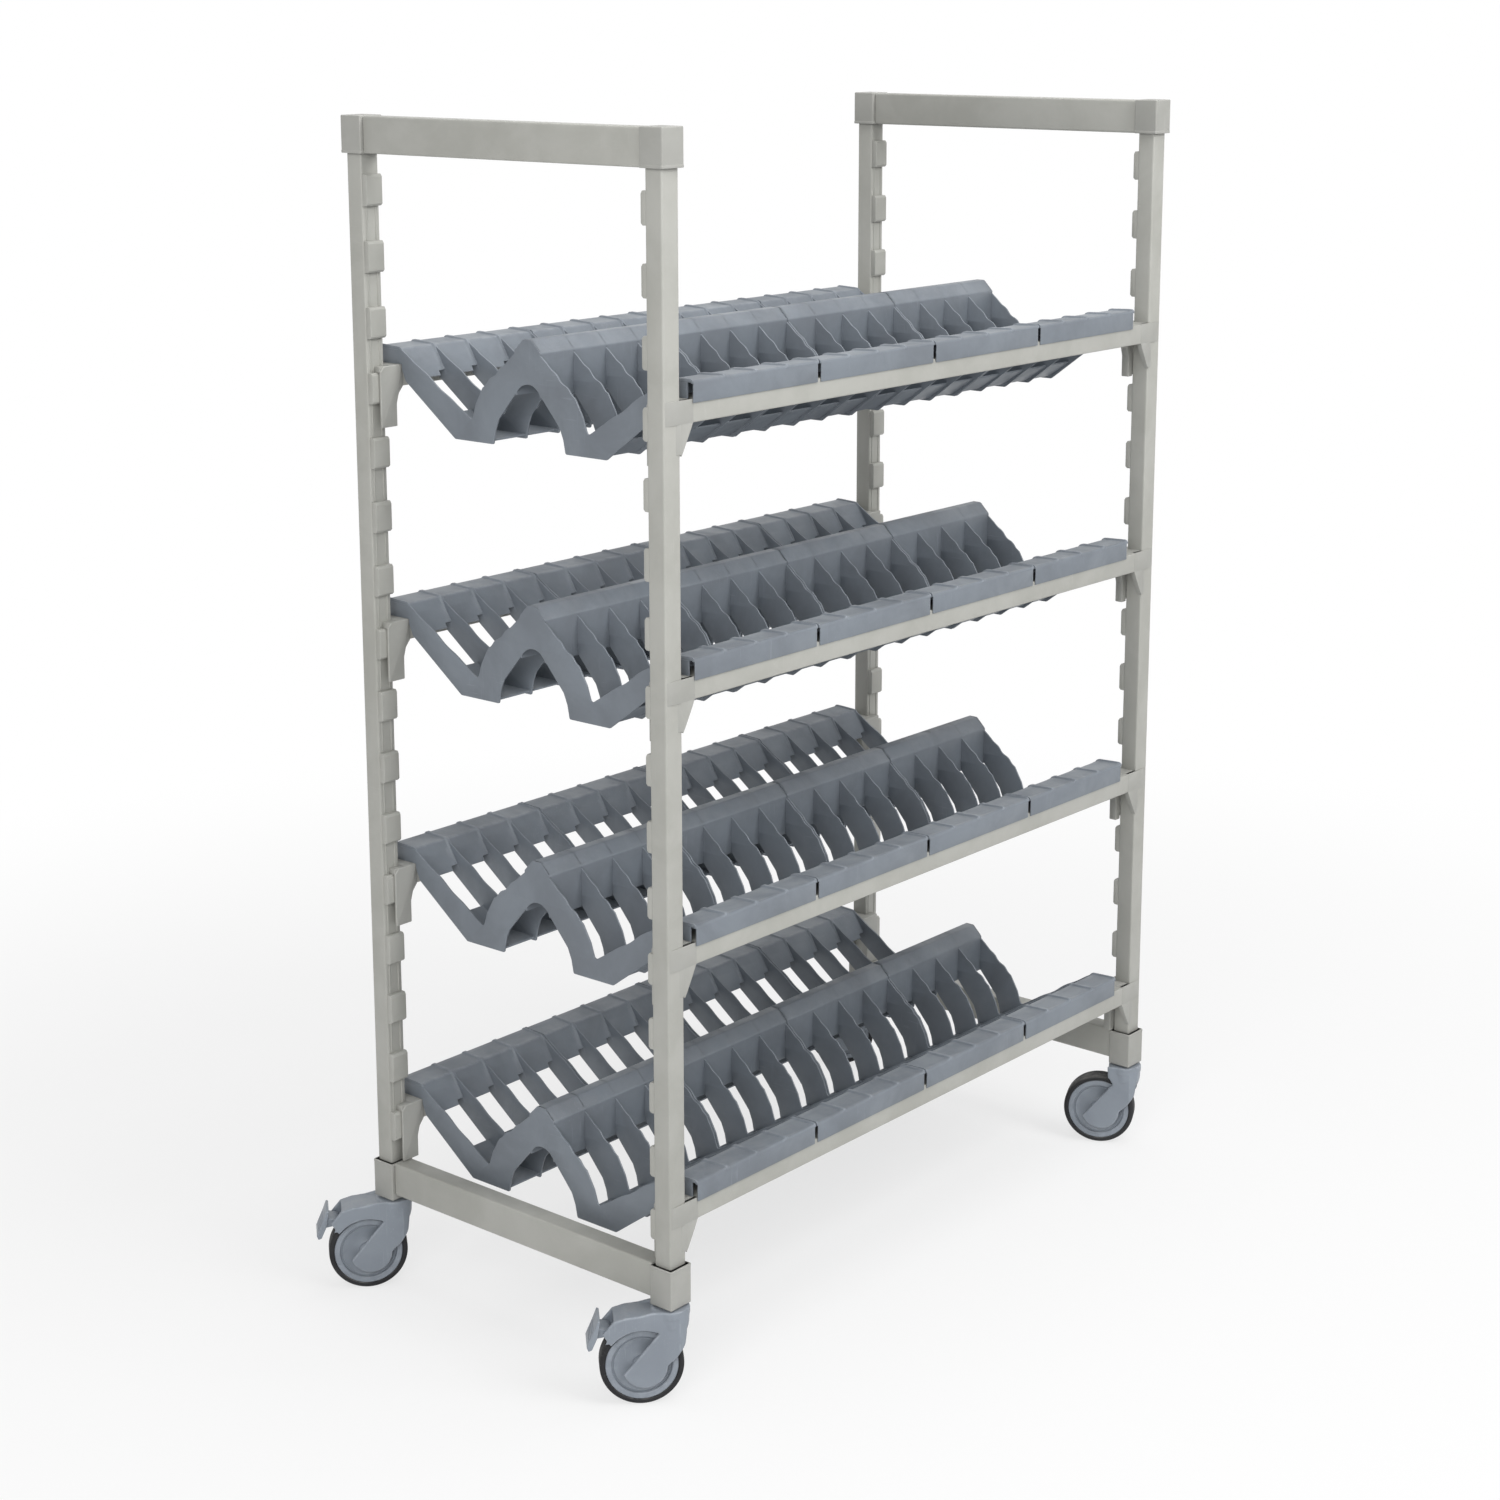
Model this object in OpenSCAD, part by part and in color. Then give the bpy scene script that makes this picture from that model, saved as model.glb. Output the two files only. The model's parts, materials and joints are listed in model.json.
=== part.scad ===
// Mobile drying rack: two end frames on casters carry four tiers of lift-off drying cradles.
// +X runs along the rack, +Y towards its back, +Z up. The origin lies on the floor, midway
// between the four posts. All sizes are in millimetres.

/* [Overall] */
// Length over the corner caps
overall_l = 1220; // [1000:1:1500]
// Depth over the corner caps
overall_w = 610; // [570:1:700]
// Height from the floor to the top of the corner caps
overall_h = 1778; // [1700:1:2000]

/* [Posts] */
// Post size along X
post_x = 32.5; // [30:0.5:36]
// Post size along Y
post_y = 29.5; // [28:0.5:33]
// Wall of the hollow post
post_wall = 3.5; // [2.5:0.1:5]
// Radius of the post's long edges
post_r = 3; // [1:0.5:5]
// Height of one locking lug
lug_h = 45; // [35:1:56]
// Height from one lug to the next
lug_pitch = 94; // [88:0.2:96]
// How far a lug stands out of the post
lug_out = 9; // [6:0.5:12]
// Width of a lug along X
lug_w = 28; // [12:1:30]
// Bevel at a lug's two ends
lug_bevel = 2.5; // [1:0.5:5]
// Gap from the bottom sleeve to the lowest lug
lug_start = 37; // [16:0.5:40]

/* [Corner caps and sleeves] */
// Cap and sleeve size along X
fitting_x = 43.5; // [42:0.5:47]
// Cap and sleeve size along Y
fitting_y = 41.5; // [40:0.5:45]
// Radius of their long edges
fitting_r = 3; // [1:0.5:6]
// Height of a corner cap
cap_h = 53; // [45:1:70]
// Thickness of the cap's roof
cap_roof = 6; // [3:0.5:10]
// Height of a bottom sleeve
sleeve_h = 59; // [50:1:70]
// Thickness of the sleeve's floor
sleeve_floor = 3; // [2:0.5:6]
// Length of the tongue that plugs into an end bar
tongue_l = 30; // [15:1:60]

/* [End bars] */
// Thickness of an end bar along X
bar_t = 32; // [24:0.5:36]
// Height of an end bar
bar_h = 52; // [46:1:52]
// Wall of the hollow end bar
bar_wall = 3; // [2:0.1:4]
// Gap between an end bar and its fittings
bar_seam = 0.7; // [0.3:0.1:0.9]
// Step from the cap's top down to the top bar
top_bar_drop = 1; // [0.5:0.5:6]
// Height of the bottom bar above the sleeve's lower end
bottom_bar_lift = 8; // [4:0.5:12]

/* [Traverses] */
// Lugs from one tier to the next
tier_lugs = 4; // [3:1:4]
// Height of the traverse's top above the top of its lug
beam_over_lug = 9; // [6:1:28]
// Height of a traverse
beam_h = 32; // [27:1:36]
// Depth of a traverse along Y
beam_d = 42.5; // [38:0.5:46]
// Wall of the hollow traverse
beam_wall = 3.5; // [2.5:0.1:5]
// How far the end connector reaches past the post, along X
reach = 25; // [20:1:32]
// Thickness of the connector's skin over the post's outer face
skin = 1.5; // [1:0.1:2]
// Length of the connector's plug inside the traverse
plug_l = 35; // [20:1:60]
// How far the connector hangs below the traverse's top
hook_drop = 89; // [80:1:96]
// Depth of the connector's hook along Y
hook_d = 13; // [12.5:0.5:18]
// How far the hook starts before the post's middle
hook_start = 3; // [0:0.5:8]
// How far the hook's lower part stays short of the connector's end
hook_step = 13.5; // [10:0.5:16]
// Height of the gusset below the traverse
gusset_h = 43; // [30:1:48]
// Thickness of the gusset
gusset_t = 8; // [5:0.5:12]

/* [Drying cradles] */
// Gap from the left posts to the first cradle
cradle_start = 20; // [16:1:30]
// Gap from the last cradle to the right posts
cradle_end = 50; // [20:1:60]
// Gap between two cradles
cradle_gap = 1.5; // [1:0.1:3]
// Thickness of a cradle's end plates
plate_t = 3; // [2:0.1:5]
// Thickness of its inner fins
fin_t = 2.6; // [2:0.1:5]
// Wall of its ridge, lips and troughs
shell_t = 3; // [2:0.1:4]
// Height of the ridge above the traverse
ridge_h = 55; // [45:1:66]
// Width of the ridge's flat top
ridge_flat = 16; // [10:1:24]
// Width between the ridge's upright sides
ridge_w = 50; // [44:1:56]
// Length of the ridge's upright sides, below the bevel
ridge_side = 62; // [45:1:70]
// Distance from the bevel down to the start of the fins
fin_start = 4; // [1:1:12]
// Height of the arch's crown below the traverse's top
crown_drop = 7.5; // [4:0.5:14]
// Radius of the arch's crown
crown_r = 26; // [18:1:28]
// Depth of the troughs below the traverse's top
trough_drop = 98; // [88:1:104]
// Distance from the middle of the rack to a trough's inner corner
trough_in = 70; // [64:1:78]
// Distance from the middle of the rack to a trough's outer corner
trough_out = 147; // [140:1:162]
// Distance from the middle of the rack to the notch of the V
notch_y = 112; // [104:1:120]
// Depth of the notch below the traverse's top
notch_drop = 68; // [60:1:74]
// Lift of the trough floor above the fins' lower edge
floor_lift = 4; // [4:0.5:12]
// Length along Y of the floor's rising part
floor_run = 34; // [20:1:40]
// Height of a lip's inner edge above the traverse
lip_h = 22.5; // [20:0.5:30]
// Rise of the lip's top from its inner to its outer edge
lip_rise = 2; // [0:0.5:5]
// Depth of the lip's inner wall below the traverse's top
lip_sink = 19; // [14:1:24]
// Slant of the lip's inner wall, from its top to its foot
lip_slant = 27; // [20:1:30]
// Radius of the lip's outer top edge
lip_r = 4; // [3:0.5:6]
// How far the lip's skirt hangs over the traverse's face
skirt_drop = 5.5; // [3:0.5:12]
// Thickness of the skirt
skirt_t = 2; // [1.5:0.1:2.2]
// Length of lip without skirt at each end of a cradle
skirt_inset = 4; // [2:0.5:12]
// Height of the waves along the fins' edges
wave = 2.5; // [0:0.1:3.5]
// Height of the ribs where the fins cross the lip's top
rib_h = 2; // [0.5:0.1:4]
// Width of the drain notch beside each fin
drain_w = 12; // [6:1:16]
// Height of the drain notch
drain_h = 8; // [4:0.5:10]

/* [Casters] */
// Height from the top of a wheel to the lower end of the sleeve
wheel_clear = 25; // [24:0.5:31]
// Width of the tyre
tyre_w = 32; // [28:0.5:36]
// Height of the tyre's rubber
tyre_h = 8; // [7:0.5:14]
// Radius of the tyre's shoulders
tyre_r = 5; // [2:0.5:6]
// Distance from the swivel axis to the wheel axle
trail = 42; // [38:0.5:46]
// Height from the floor to the lower end of the sleeve
caster_h = 145; // [135:0.5:155]
// Diameter of the swivel head
head_d = 55; // [48:0.5:57]
// Height of the swivel head
head_h = 30; // [26:0.5:31]
// Thickness of a fork leg
leg_t = 6; // [5:0.1:9]
// Gap between a leg and the tyre
leg_gap = 3; // [2:0.1:5]
// Radius of the leg's round lower end
leg_r = 32; // [28:0.5:36]
// Diameter of the axle
axle_d = 8; // [6:0.5:10]
// Diameter of the swivel stem
stem_d = 12; // [10:0.5:14]
// Diameter of the rivet flange at the stem's lower end
rivet_d = 20; // [16:0.5:24]
// Thickness of the rivet flange
rivet_t = 3; // [2:0.5:4]
// Diameter of the thrust washer
washer_d = 32; // [28:0.5:38]
// Thickness of the thrust washer
washer_t = 2.5; // [1.5:0.1:4]
// Length of the stem inside the post
stem_l = 45; // [30:1:70]
// Length of the plug that holds the stem in the post
socket_l = 52; // [50:1:90]
// Rest angle of the front left caster's trail, from +X
swivel_fl = 136; // [0:1:360]
// Rest angle of the back left caster's trail
swivel_bl = 140; // [0:1:360]
// Rest angle of the front right caster's trail
swivel_fr = 116; // [0:1:360]
// Rest angle of the back right caster's trail
swivel_br = 124; // [0:1:360]

/* [Brake] */
// Gap from the tyre to the pedal's pivot
pedal_gap = 9.4; // [9.2:0.1:10.4]
// Angle of the pedal's pivot above the axle
pedal_angle = 46.5; // [45:0.1:48.5]
// Diameter of the pedal's pivot pins
pedal_pin_d = 6; // [4:0.5:6]
// Width of the pedal's arm
pedal_arm_w = 32; // [24:1:34]
// Width of the pedal's plate
pedal_w = 46; // [34:1:60]
// Radius of the lobe that presses on the tyre
lobe_r = 3.4; // [2.5:0.1:3.5]
// Distance from the pivot to the lobe's middle
lobe_x = 6.7; // [5:0.1:6.8]

/* [Fits] */
// Gap around parts that push together
fit = 0.2; // [0.1:0.05:0.3]
// Radial clearance of running bores
run_fit = 0.05; // [0.02:0.01:0.1]
// Gap beside the wheel's hub
hub_gap = 0.3; // [0.2:0.05:0.6]

/* [Hidden] */
$fn = 48;

LEFT = -1;
RIGHT = 1;
FRONT = -1;
BACK = 1;
TIERS = 4;
CRADLES = 4;
BAYS = 4;

frame_colour = [0.72, 0.73, 0.70];
cradle_colour = [0.42, 0.47, 0.53];
caster_colour = [0.55, 0.59, 0.63];
tyre_colour = [0.12, 0.12, 0.13];
steel_colour = [0.70, 0.70, 0.72];

post_cx = (overall_l - fitting_x) / 2;
post_cy = (overall_w - fitting_y) / 2;
cap_z = overall_h - cap_h;
post_top = overall_h - cap_roof;
post_z = caster_h + sleeve_floor;
sleeve_top = caster_h + sleeve_h;
lug_z0 = sleeve_top + lug_start;
lug_count = floor((cap_z - 10 - lug_h - lug_z0) / lug_pitch) + 1;
bar_len = 2 * post_cy - fitting_y - 2 * bar_seam;
top_bar_z = overall_h - top_bar_drop - bar_h;
bottom_bar_z = caster_h + bottom_bar_lift;

beam_out = post_cy + post_y / 2 + skin;
beam_in = beam_out - beam_d;
beam_end = post_cx - post_x / 2 - reach;
beam_plug = beam_wall + fit;

row_x = -post_cx + post_x / 2 + cradle_start;
row_l = 2 * post_cx - post_x - cradle_start - cradle_end;
cradle_l = (row_l - (CRADLES - 1) * cradle_gap) / CRADLES;
bay_l = (cradle_l - plate_t) / BAYS;
bevel_z = ridge_h - (ridge_w - ridge_flat) / 2;
hook_in = post_cy - post_y / 2 - fit - hook_d;
foot_y = hook_in - 1.5;
lip_out = beam_out + fit + skirt_t;
lip_in = beam_in - 1;
lip_foot = lip_in - lip_slant;
lip_foot_z = -lip_sink;
lip_top = lip_h + lip_rise;

wheel_r = (caster_h - wheel_clear) / 2;
rim_r = wheel_r - tyre_h;
fork_in = tyre_w / 2 + leg_gap;
fork_out = fork_in + leg_t;
head_r = head_d / 2;
head_top = caster_h - washer_t - fit;
head_z = head_top - head_h;
rivet_z = head_z + 1;
rivet_top = rivet_z + rivet_t;
axle_l = 2 * fork_out - 3;
slot_r = wheel_r + 3.5;
pedal_x = trail + (wheel_r + pedal_gap) * cos(pedal_angle);
pedal_z = wheel_r + (wheel_r + pedal_gap) * sin(pedal_angle);
tail_x = pedal_x - 8;

// Height of a tier's traverses, tier 1 being the highest
function tier_z(tier) = lug_z0 + (TIERS - tier) * tier_lugs * lug_pitch + lug_h + beam_over_lug;
// Points of an arc
function arc(cx, cy, r, from, to, steps) =
    [for (i = [0 : steps]) let (a = from + (to - from) * i / steps) [cx + r * cos(a), cy + r * sin(a)]];
// A list of points, last one first
function reversed(points) = [for (i = [len(points) - 1 : -1 : 0]) points[i]];
// An outline's points on the front or the back side of the rack
function on_side(points, face) = [for (p = points) [face * p[0], p[1]]];
// A whole outline from its half on the back side
function both_sides(half) = concat(half, on_side(reversed(half), FRONT));
// Points from p to q on a line that waves by up to h
function wavy(p, q, h, crests, steps) =
    let (d = q - p, n = [-d[1], d[0]] / norm(d))
    [for (i = [0 : steps]) p + d * i / steps + n * h * sin(360 * crests * i / steps) * sin(180 * i / steps)];

// A rectangle about the origin with round corners
module round_rect(x, y, r) {
    square([x - 2 * r, y], center = true);
    square([x, y - 2 * r], center = true);
    for (i = [-1, 1], j = [-1, 1]) translate([i * (x / 2 - r), j * (y / 2 - r)]) circle(r);
}

// Places a corner's part, drawn about a post with +X and +Y pointing into the rack
module at_corner(side, face) {
    translate([side * post_cx, face * post_cy, 0])
        mirror([side == RIGHT ? 1 : 0, 0, 0]) mirror([0, face == BACK ? 1 : 0, 0]) children();
}

// Extrudes an outline drawn in Y and Z along X
module along_x(length) {
    rotate([90, 0, 90]) linear_extrude(length) children();
}

// Extrudes an outline drawn in X and Z along Y, about the middle
module across(width) {
    translate([0, width / 2, 0]) rotate([90, 0, 0]) linear_extrude(width) children();
}

// One hollow post with its row of locking lugs
module post(side, face) {
    lug = [[-1, 0], [lug_out - lug_bevel, 0], [lug_out, lug_bevel], [lug_out, lug_h - lug_bevel],
           [lug_out - lug_bevel, lug_h], [-1, lug_h]];
    color(frame_colour) at_corner(side, face) difference() {
        union() {
            translate([0, 0, post_z]) linear_extrude(post_top - post_z) round_rect(post_x, post_y, post_r);
            for (i = [0 : lug_count - 1])
                translate([-lug_w / 2, post_y / 2, lug_z0 + i * lug_pitch]) along_x(lug_w) polygon(lug);
        }
        translate([0, 0, post_z - 1]) linear_extrude(post_top - post_z + 2)
            square([post_x - 2 * post_wall, post_y - 2 * post_wall], center = true);
    }
}

// The tongue of a corner fitting, which plugs into a hollow end bar
module bar_tongue(z, height) {
    width = bar_t - 2 * bar_wall - 2 * fit;
    translate([-width / 2, fitting_y / 2 - 1, z]) cube([width, tongue_l + 1, height]);
}

// Cap that closes a post and holds the top bar
module corner_cap() {
    difference() {
        translate([0, 0, cap_z]) linear_extrude(cap_h) round_rect(fitting_x, fitting_y, fitting_r);
        translate([0, 0, cap_z - 1]) linear_extrude(post_top - cap_z + 1)
            square([post_x + 2 * fit, post_y + 2 * fit], center = true);
    }
    bar_tongue(top_bar_z + bar_wall + fit, bar_h - 2 * bar_wall - 2 * fit);
}

// Sleeve that holds a post's foot, the bottom bar and the caster
module corner_sleeve() {
    tongue_z = bottom_bar_z + bar_wall + fit;
    difference() {
        translate([0, 0, caster_h]) linear_extrude(sleeve_h) round_rect(fitting_x, fitting_y, fitting_r);
        translate([0, 0, post_z]) linear_extrude(sleeve_h)
            square([post_x + 2 * fit, post_y + 2 * fit], center = true);
        translate([0, 0, caster_h - 1]) cylinder(h = sleeve_floor + 2, d = stem_d + 2 * fit);
    }
    bar_tongue(tongue_z, min(bottom_bar_z + bar_h - bar_wall - fit, sleeve_top) - tongue_z);
}

// The four corner caps
module corner_caps() {
    color(frame_colour) for (side = [LEFT, RIGHT], face = [FRONT, BACK]) at_corner(side, face) corner_cap();
}

// The four bottom sleeves
module corner_sleeves() {
    color(frame_colour)
        for (side = [LEFT, RIGHT], face = [FRONT, BACK]) at_corner(side, face) corner_sleeve();
}

// A hollow bar between two corner fittings
module end_bar(side, z) {
    color(frame_colour) translate([side * post_cx, 0, z]) across(bar_len) difference() {
        translate([-bar_t / 2, 0]) square([bar_t, bar_h]);
        translate([-bar_t / 2 + bar_wall, bar_wall]) square([bar_t - 2 * bar_wall, bar_h - 2 * bar_wall]);
    }
}

// A hollow traverse, which carries the cradles' lips
module traverse(face, tier) {
    y0 = face == FRONT ? -beam_out : beam_in;
    color(frame_colour) translate([-beam_end, 0, tier_z(tier) - beam_h]) along_x(2 * beam_end)
        difference() {
            translate([y0, 0]) square([beam_d, beam_h]);
            translate([y0 + beam_wall, beam_wall]) square([beam_d - 2 * beam_wall, beam_h - 2 * beam_wall]);
        }
}

// Connector that hooks over a lug and plugs into the traverse's end
module connector() {
    side_x = post_x / 2 + fit;
    end_x = post_x / 2 + reach;
    out_y = -post_y / 2 - skin;
    hook_y = post_y / 2 + fit;
    pocket_y = post_y / 2 + lug_out + fit;
    gusset = [[side_x, -beam_h + 1], [end_x - 1, -beam_h + 1], [end_x - 1, -beam_h],
              [end_x - 6, -beam_h - gusset_h * 0.24], [side_x + 5, -beam_h - gusset_h * 0.82],
              [side_x, -beam_h - gusset_h]];
    hook = [[-hook_start, 0], [end_x, 0], [end_x, -beam_h], [end_x - hook_step * 0.7, -beam_h - 10],
            [end_x - hook_step, -beam_h - 24], [end_x - hook_step, -hook_drop], [-hook_start, -hook_drop]];
    difference() {
        union() {
            translate([-post_x / 2 + post_r, out_y, -beam_h]) cube([end_x + post_x / 2 - post_r, skin, beam_h]);
            translate([side_x, out_y, -beam_h]) cube([end_x - side_x, beam_d, beam_h]);
            translate([end_x - 1, out_y + beam_plug, -beam_h + beam_plug])
                cube([plug_l + 1, beam_d - 2 * beam_plug, beam_h - 2 * beam_plug]);
            translate([0, out_y + gusset_t / 2, 0]) across(gusset_t) polygon(gusset);
            translate([0, hook_y + hook_d / 2, 0]) across(hook_d) polygon(hook);
        }
        translate([-hook_start - 1, post_y / 2 - 1, -hook_drop - 1])
            cube([lug_w / 2 + fit + hook_start + 1, pocket_y - post_y / 2 + 1, hook_drop + 1 - beam_over_lug]);
    }
}

// The four connectors of a tier
module connectors(tier) {
    color(frame_colour) for (side = [LEFT, RIGHT], face = [FRONT, BACK])
        at_corner(side, face) translate([0, 0, tier_z(tier)]) connector();
}

// Upper edge of half a fin, from the ridge over the notch of the V to the lip
function upper_edge(h) = concat(
    [[ridge_flat / 2, ridge_h]],
    [[ridge_w / 2, bevel_z]],
    wavy([ridge_w / 2, bevel_z - fin_start], [notch_y - 20, -notch_drop + 47], h, 3, 18),
    [[notch_y - 8, -notch_drop + 24], [notch_y, -notch_drop]],
    wavy([notch_y + 23, -notch_drop + 14], [lip_in - 12, lip_h - 7], h / 2, 2, 12),
    [[lip_in, lip_h]]
);

// Foot of half a fin inside the lip, which rests on the traverse
function fin_foot() = [
    [lip_in + 6, lip_h + rib_h], [lip_out - lip_r, lip_top + rib_h],
    [lip_out - skirt_t / 2, lip_top - lip_r], [lip_out - skirt_t / 2, 0], [foot_y, 0]
];

// Lower edge of half a fin, from the lip round the trough to the arch's crown
function lower_edge() = concat(
    [[foot_y - 1, -8], [foot_y - 8, -24], [trough_out, -trough_drop], [trough_in, -trough_drop],
     [trough_in - 4, -trough_drop + 20], [trough_in - 11, -trough_drop + 37]],
    arc(0, -crown_drop - crown_r, crown_r, 40, 85, 5)
);

// Plate at a cradle's end, or a fin inside it
module fin(x, thickness, h, foot) {
    translate([x, 0, 0]) along_x(thickness) polygon(both_sides(concat(upper_edge(h), foot, lower_edge())));
}

// Bevelled ridge with upright sides
module ridge() {
    k = shell_t * tan(22.5);
    low = bevel_z - ridge_side;
    outer = [[ridge_flat / 2, ridge_h], [ridge_w / 2, bevel_z], [ridge_w / 2, low]];
    inner = [[ridge_w / 2 - shell_t, low], [ridge_w / 2 - shell_t, bevel_z - k],
             [ridge_flat / 2 - k, ridge_h - shell_t]];
    along_x(cradle_l) polygon(both_sides(concat(outer, inner)));
}

// Floor of a trough, between the fins
module trough_floor(face) {
    z = -trough_drop + floor_lift;
    rise = floor_run * (trough_drop - 24) / (foot_y - 8 - trough_out);
    floor_line = [[trough_in + 2, z], [trough_out - 3, z], [trough_out + floor_run, z + rise]];
    along_x(cradle_l) polygon(on_side(concat(
        floor_line, reversed([for (p = floor_line) [p[0], p[1] + shell_t]])), face));
}

// Lip that hangs over the traverse, with drain notches at its foot
module lip(face) {
    shell = concat(
        [[lip_foot, lip_foot_z], [lip_in, lip_h]],
        arc(lip_out - lip_r, lip_top - lip_r, lip_r, 90, 0, 5),
        [[lip_out, -skirt_drop], [lip_out - skirt_t, -skirt_drop], [lip_out - skirt_t, lip_top - lip_r],
         [lip_out - lip_r, lip_top - shell_t], [lip_in + shell_t - 0.7, lip_h - shell_t],
         [lip_foot + shell_t, lip_foot_z]]);
    skirt_y = face == BACK ? lip_out - skirt_t - 0.1 : -lip_out - 1;
    drain_d = drain_h * lip_slant / (lip_h + lip_sink) + shell_t + 2;
    drain_y = face == BACK ? lip_foot - 1 : -lip_foot + 1 - drain_d;
    difference() {
        along_x(cradle_l) polygon(on_side(shell, face));
        for (x = [-1, cradle_l - skirt_inset])
            translate([x, skirt_y, -skirt_drop - 1])
                cube([skirt_inset + 1, skirt_t + 1.1, skirt_drop + 1 + lip_top - lip_r - 2]);
        for (k = [1 : BAYS]) translate([k * bay_l - drain_w, drain_y, lip_foot_z - 1])
            cube([drain_w, drain_d, drain_h + 1]);
    }
}

// One lift-off cradle, counted from the left
module cradle(tier, i) {
    color(cradle_colour) translate([row_x + i * (cradle_l + cradle_gap), 0, tier_z(tier)]) union() {
        for (k = [0, BAYS]) fin(k * bay_l, plate_t, wave, [[lip_in + 2, 0], [foot_y, 0]]);
        for (k = [1 : BAYS - 1]) fin(k * bay_l, fin_t, wave, fin_foot());
        ridge();
        for (face = [FRONT, BACK]) {
            trough_floor(face);
            lip(face);
        }
    }
}

// Places a caster's part, drawn with +X pointing the way the wheel trails
module at_caster(side, face, angle) {
    translate([side * post_cx, face * post_cy, 0]) rotate([0, 0, angle]) children();
}

// The four plugs that hold the caster stems in the posts
module stem_sockets() {
    size = [post_x - 2 * post_wall - 2 * fit, post_y - 2 * post_wall - 2 * fit];
    color(frame_colour) for (side = [LEFT, RIGHT], face = [FRONT, BACK])
        translate([side * post_cx, face * post_cy, post_z]) difference() {
            linear_extrude(socket_l) square(size, center = true);
            translate([0, 0, -1]) cylinder(h = stem_l + 1.5, r = stem_d / 2 + run_fit);
        }
}

// The four swivel stems, each with its rivet flange
module swivel_stems() {
    color(steel_colour) for (side = [LEFT, RIGHT], face = [FRONT, BACK])
        translate([side * post_cx, face * post_cy, 0]) {
            translate([0, 0, rivet_z]) cylinder(h = post_z + stem_l - rivet_z, d = stem_d);
            translate([0, 0, rivet_z]) cylinder(h = rivet_t, d = rivet_d);
        }
}

// The four thrust washers under the sleeves
module swivel_washers() {
    color(steel_colour) for (side = [LEFT, RIGHT], face = [FRONT, BACK])
        translate([side * post_cx, face * post_cy, caster_h - washer_t]) difference() {
            cylinder(h = washer_t, d = washer_d);
            translate([0, 0, -1]) cylinder(h = washer_t + 2, r = stem_d / 2 + run_fit);
        }
}

// Side outline of a fork: its head, the leg round the axle and, if it has one, the fender
function fork_outline(fender) = concat(
    [[-head_r, head_top], [-head_r, head_z + 4], [-head_r + 7, head_z - 19], [-head_r + 19, head_z - 38]],
    arc(trail - 4, wheel_r + 0.5, leg_r, 180, 341, 14),
    [[trail - 24, wheel_r + 50.5]],
    fender ? concat(
        arc(trail, wheel_r, wheel_r - 4.5, 105, 38, 7),
        [[pedal_x + 8, pedal_z + 2], [pedal_x - 8, pedal_z + 21], [pedal_x - 25, pedal_z + 26],
         [pedal_x - 45, head_top - 4]])
    : [[trail - 20, wheel_r + 57.5], [head_r - 1, wheel_r + 65]],
    [[head_r, head_top]]
);

// One fork with its swivel head
module fork(side, face, angle, fender) {
    color(caster_colour) at_caster(side, face, angle) difference() {
        union() {
            translate([0, 0, head_z]) cylinder(h = head_h, r = head_r);
            intersection() {
                across(2 * fork_out) polygon(fork_outline(fender));
                translate([0, 0, wheel_r - leg_r - 10]) linear_extrude(head_top) union() {
                    circle(fork_out);
                    translate([0, -fork_out]) square([pedal_x + 20, 2 * fork_out]);
                }
            }
        }
        translate([trail, fork_in, wheel_r]) rotate([90, 0, 0]) cylinder(h = 2 * fork_in, r = slot_r);
        translate([trail, axle_l / 2 + 0.1, wheel_r]) rotate([90, 0, 0])
            cylinder(h = axle_l + 0.2, r = axle_d / 2 + run_fit);
        translate([0, 0, head_z - 1]) cylinder(h = head_h + 2, r = stem_d / 2 + run_fit);
        translate([0, 0, head_z - 10]) cylinder(h = rivet_top + fit - head_z + 10, d = rivet_d + 0.6);
        if (fender) {
            translate([tail_x, -pedal_arm_w / 2 - 1.5, wheel_r]) cube([40, pedal_arm_w + 3, head_top - wheel_r]);
            translate([pedal_x, fork_out + 1, pedal_z]) rotate([90, 0, 0])
                cylinder(h = 2 * fork_out + 2, r = pedal_pin_d / 2 + run_fit);
        }
    }
}

// One axle, fixed in the fork's legs
module axle(side, face, angle) {
    color(steel_colour) at_caster(side, face, angle) translate([trail, axle_l / 2, wheel_r])
        rotate([90, 0, 0]) cylinder(h = axle_l, d = axle_d);
}

// Spins a wheel's outline, drawn as radius and width, about the axle
module about_axle(side, face, angle) {
    at_caster(side, face, angle) translate([trail, 0, wheel_r]) rotate([90, 0, 0]) rotate_extrude() children();
}

// One wheel core: hub, web and rim
module wheel(side, face, angle) {
    hub = fork_in - hub_gap;
    rim = tyre_w / 2 - 1;
    half = [[axle_d / 2 + run_fit, hub], [14, hub], [14, rim - 2], [rim_r - 11, rim - 2],
            [rim_r - 10, rim - 4], [rim_r - 8, rim - 4], [rim_r - 7, rim], [rim_r, rim]];
    color(caster_colour) about_axle(side, face, angle)
        polygon(concat(half, reversed([for (p = half) [p[0], -p[1]]])));
}

// One tyre
module tyre(side, face, angle) {
    half = concat([[rim_r + 0.1, tyre_w / 2]],
                  arc(wheel_r - tyre_r, tyre_w / 2 - tyre_r, tyre_r, 90, 0, 6));
    color(tyre_colour) about_axle(side, face, angle)
        polygon(concat(half, reversed([for (p = half) [p[0], -p[1]]])));
}

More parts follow.
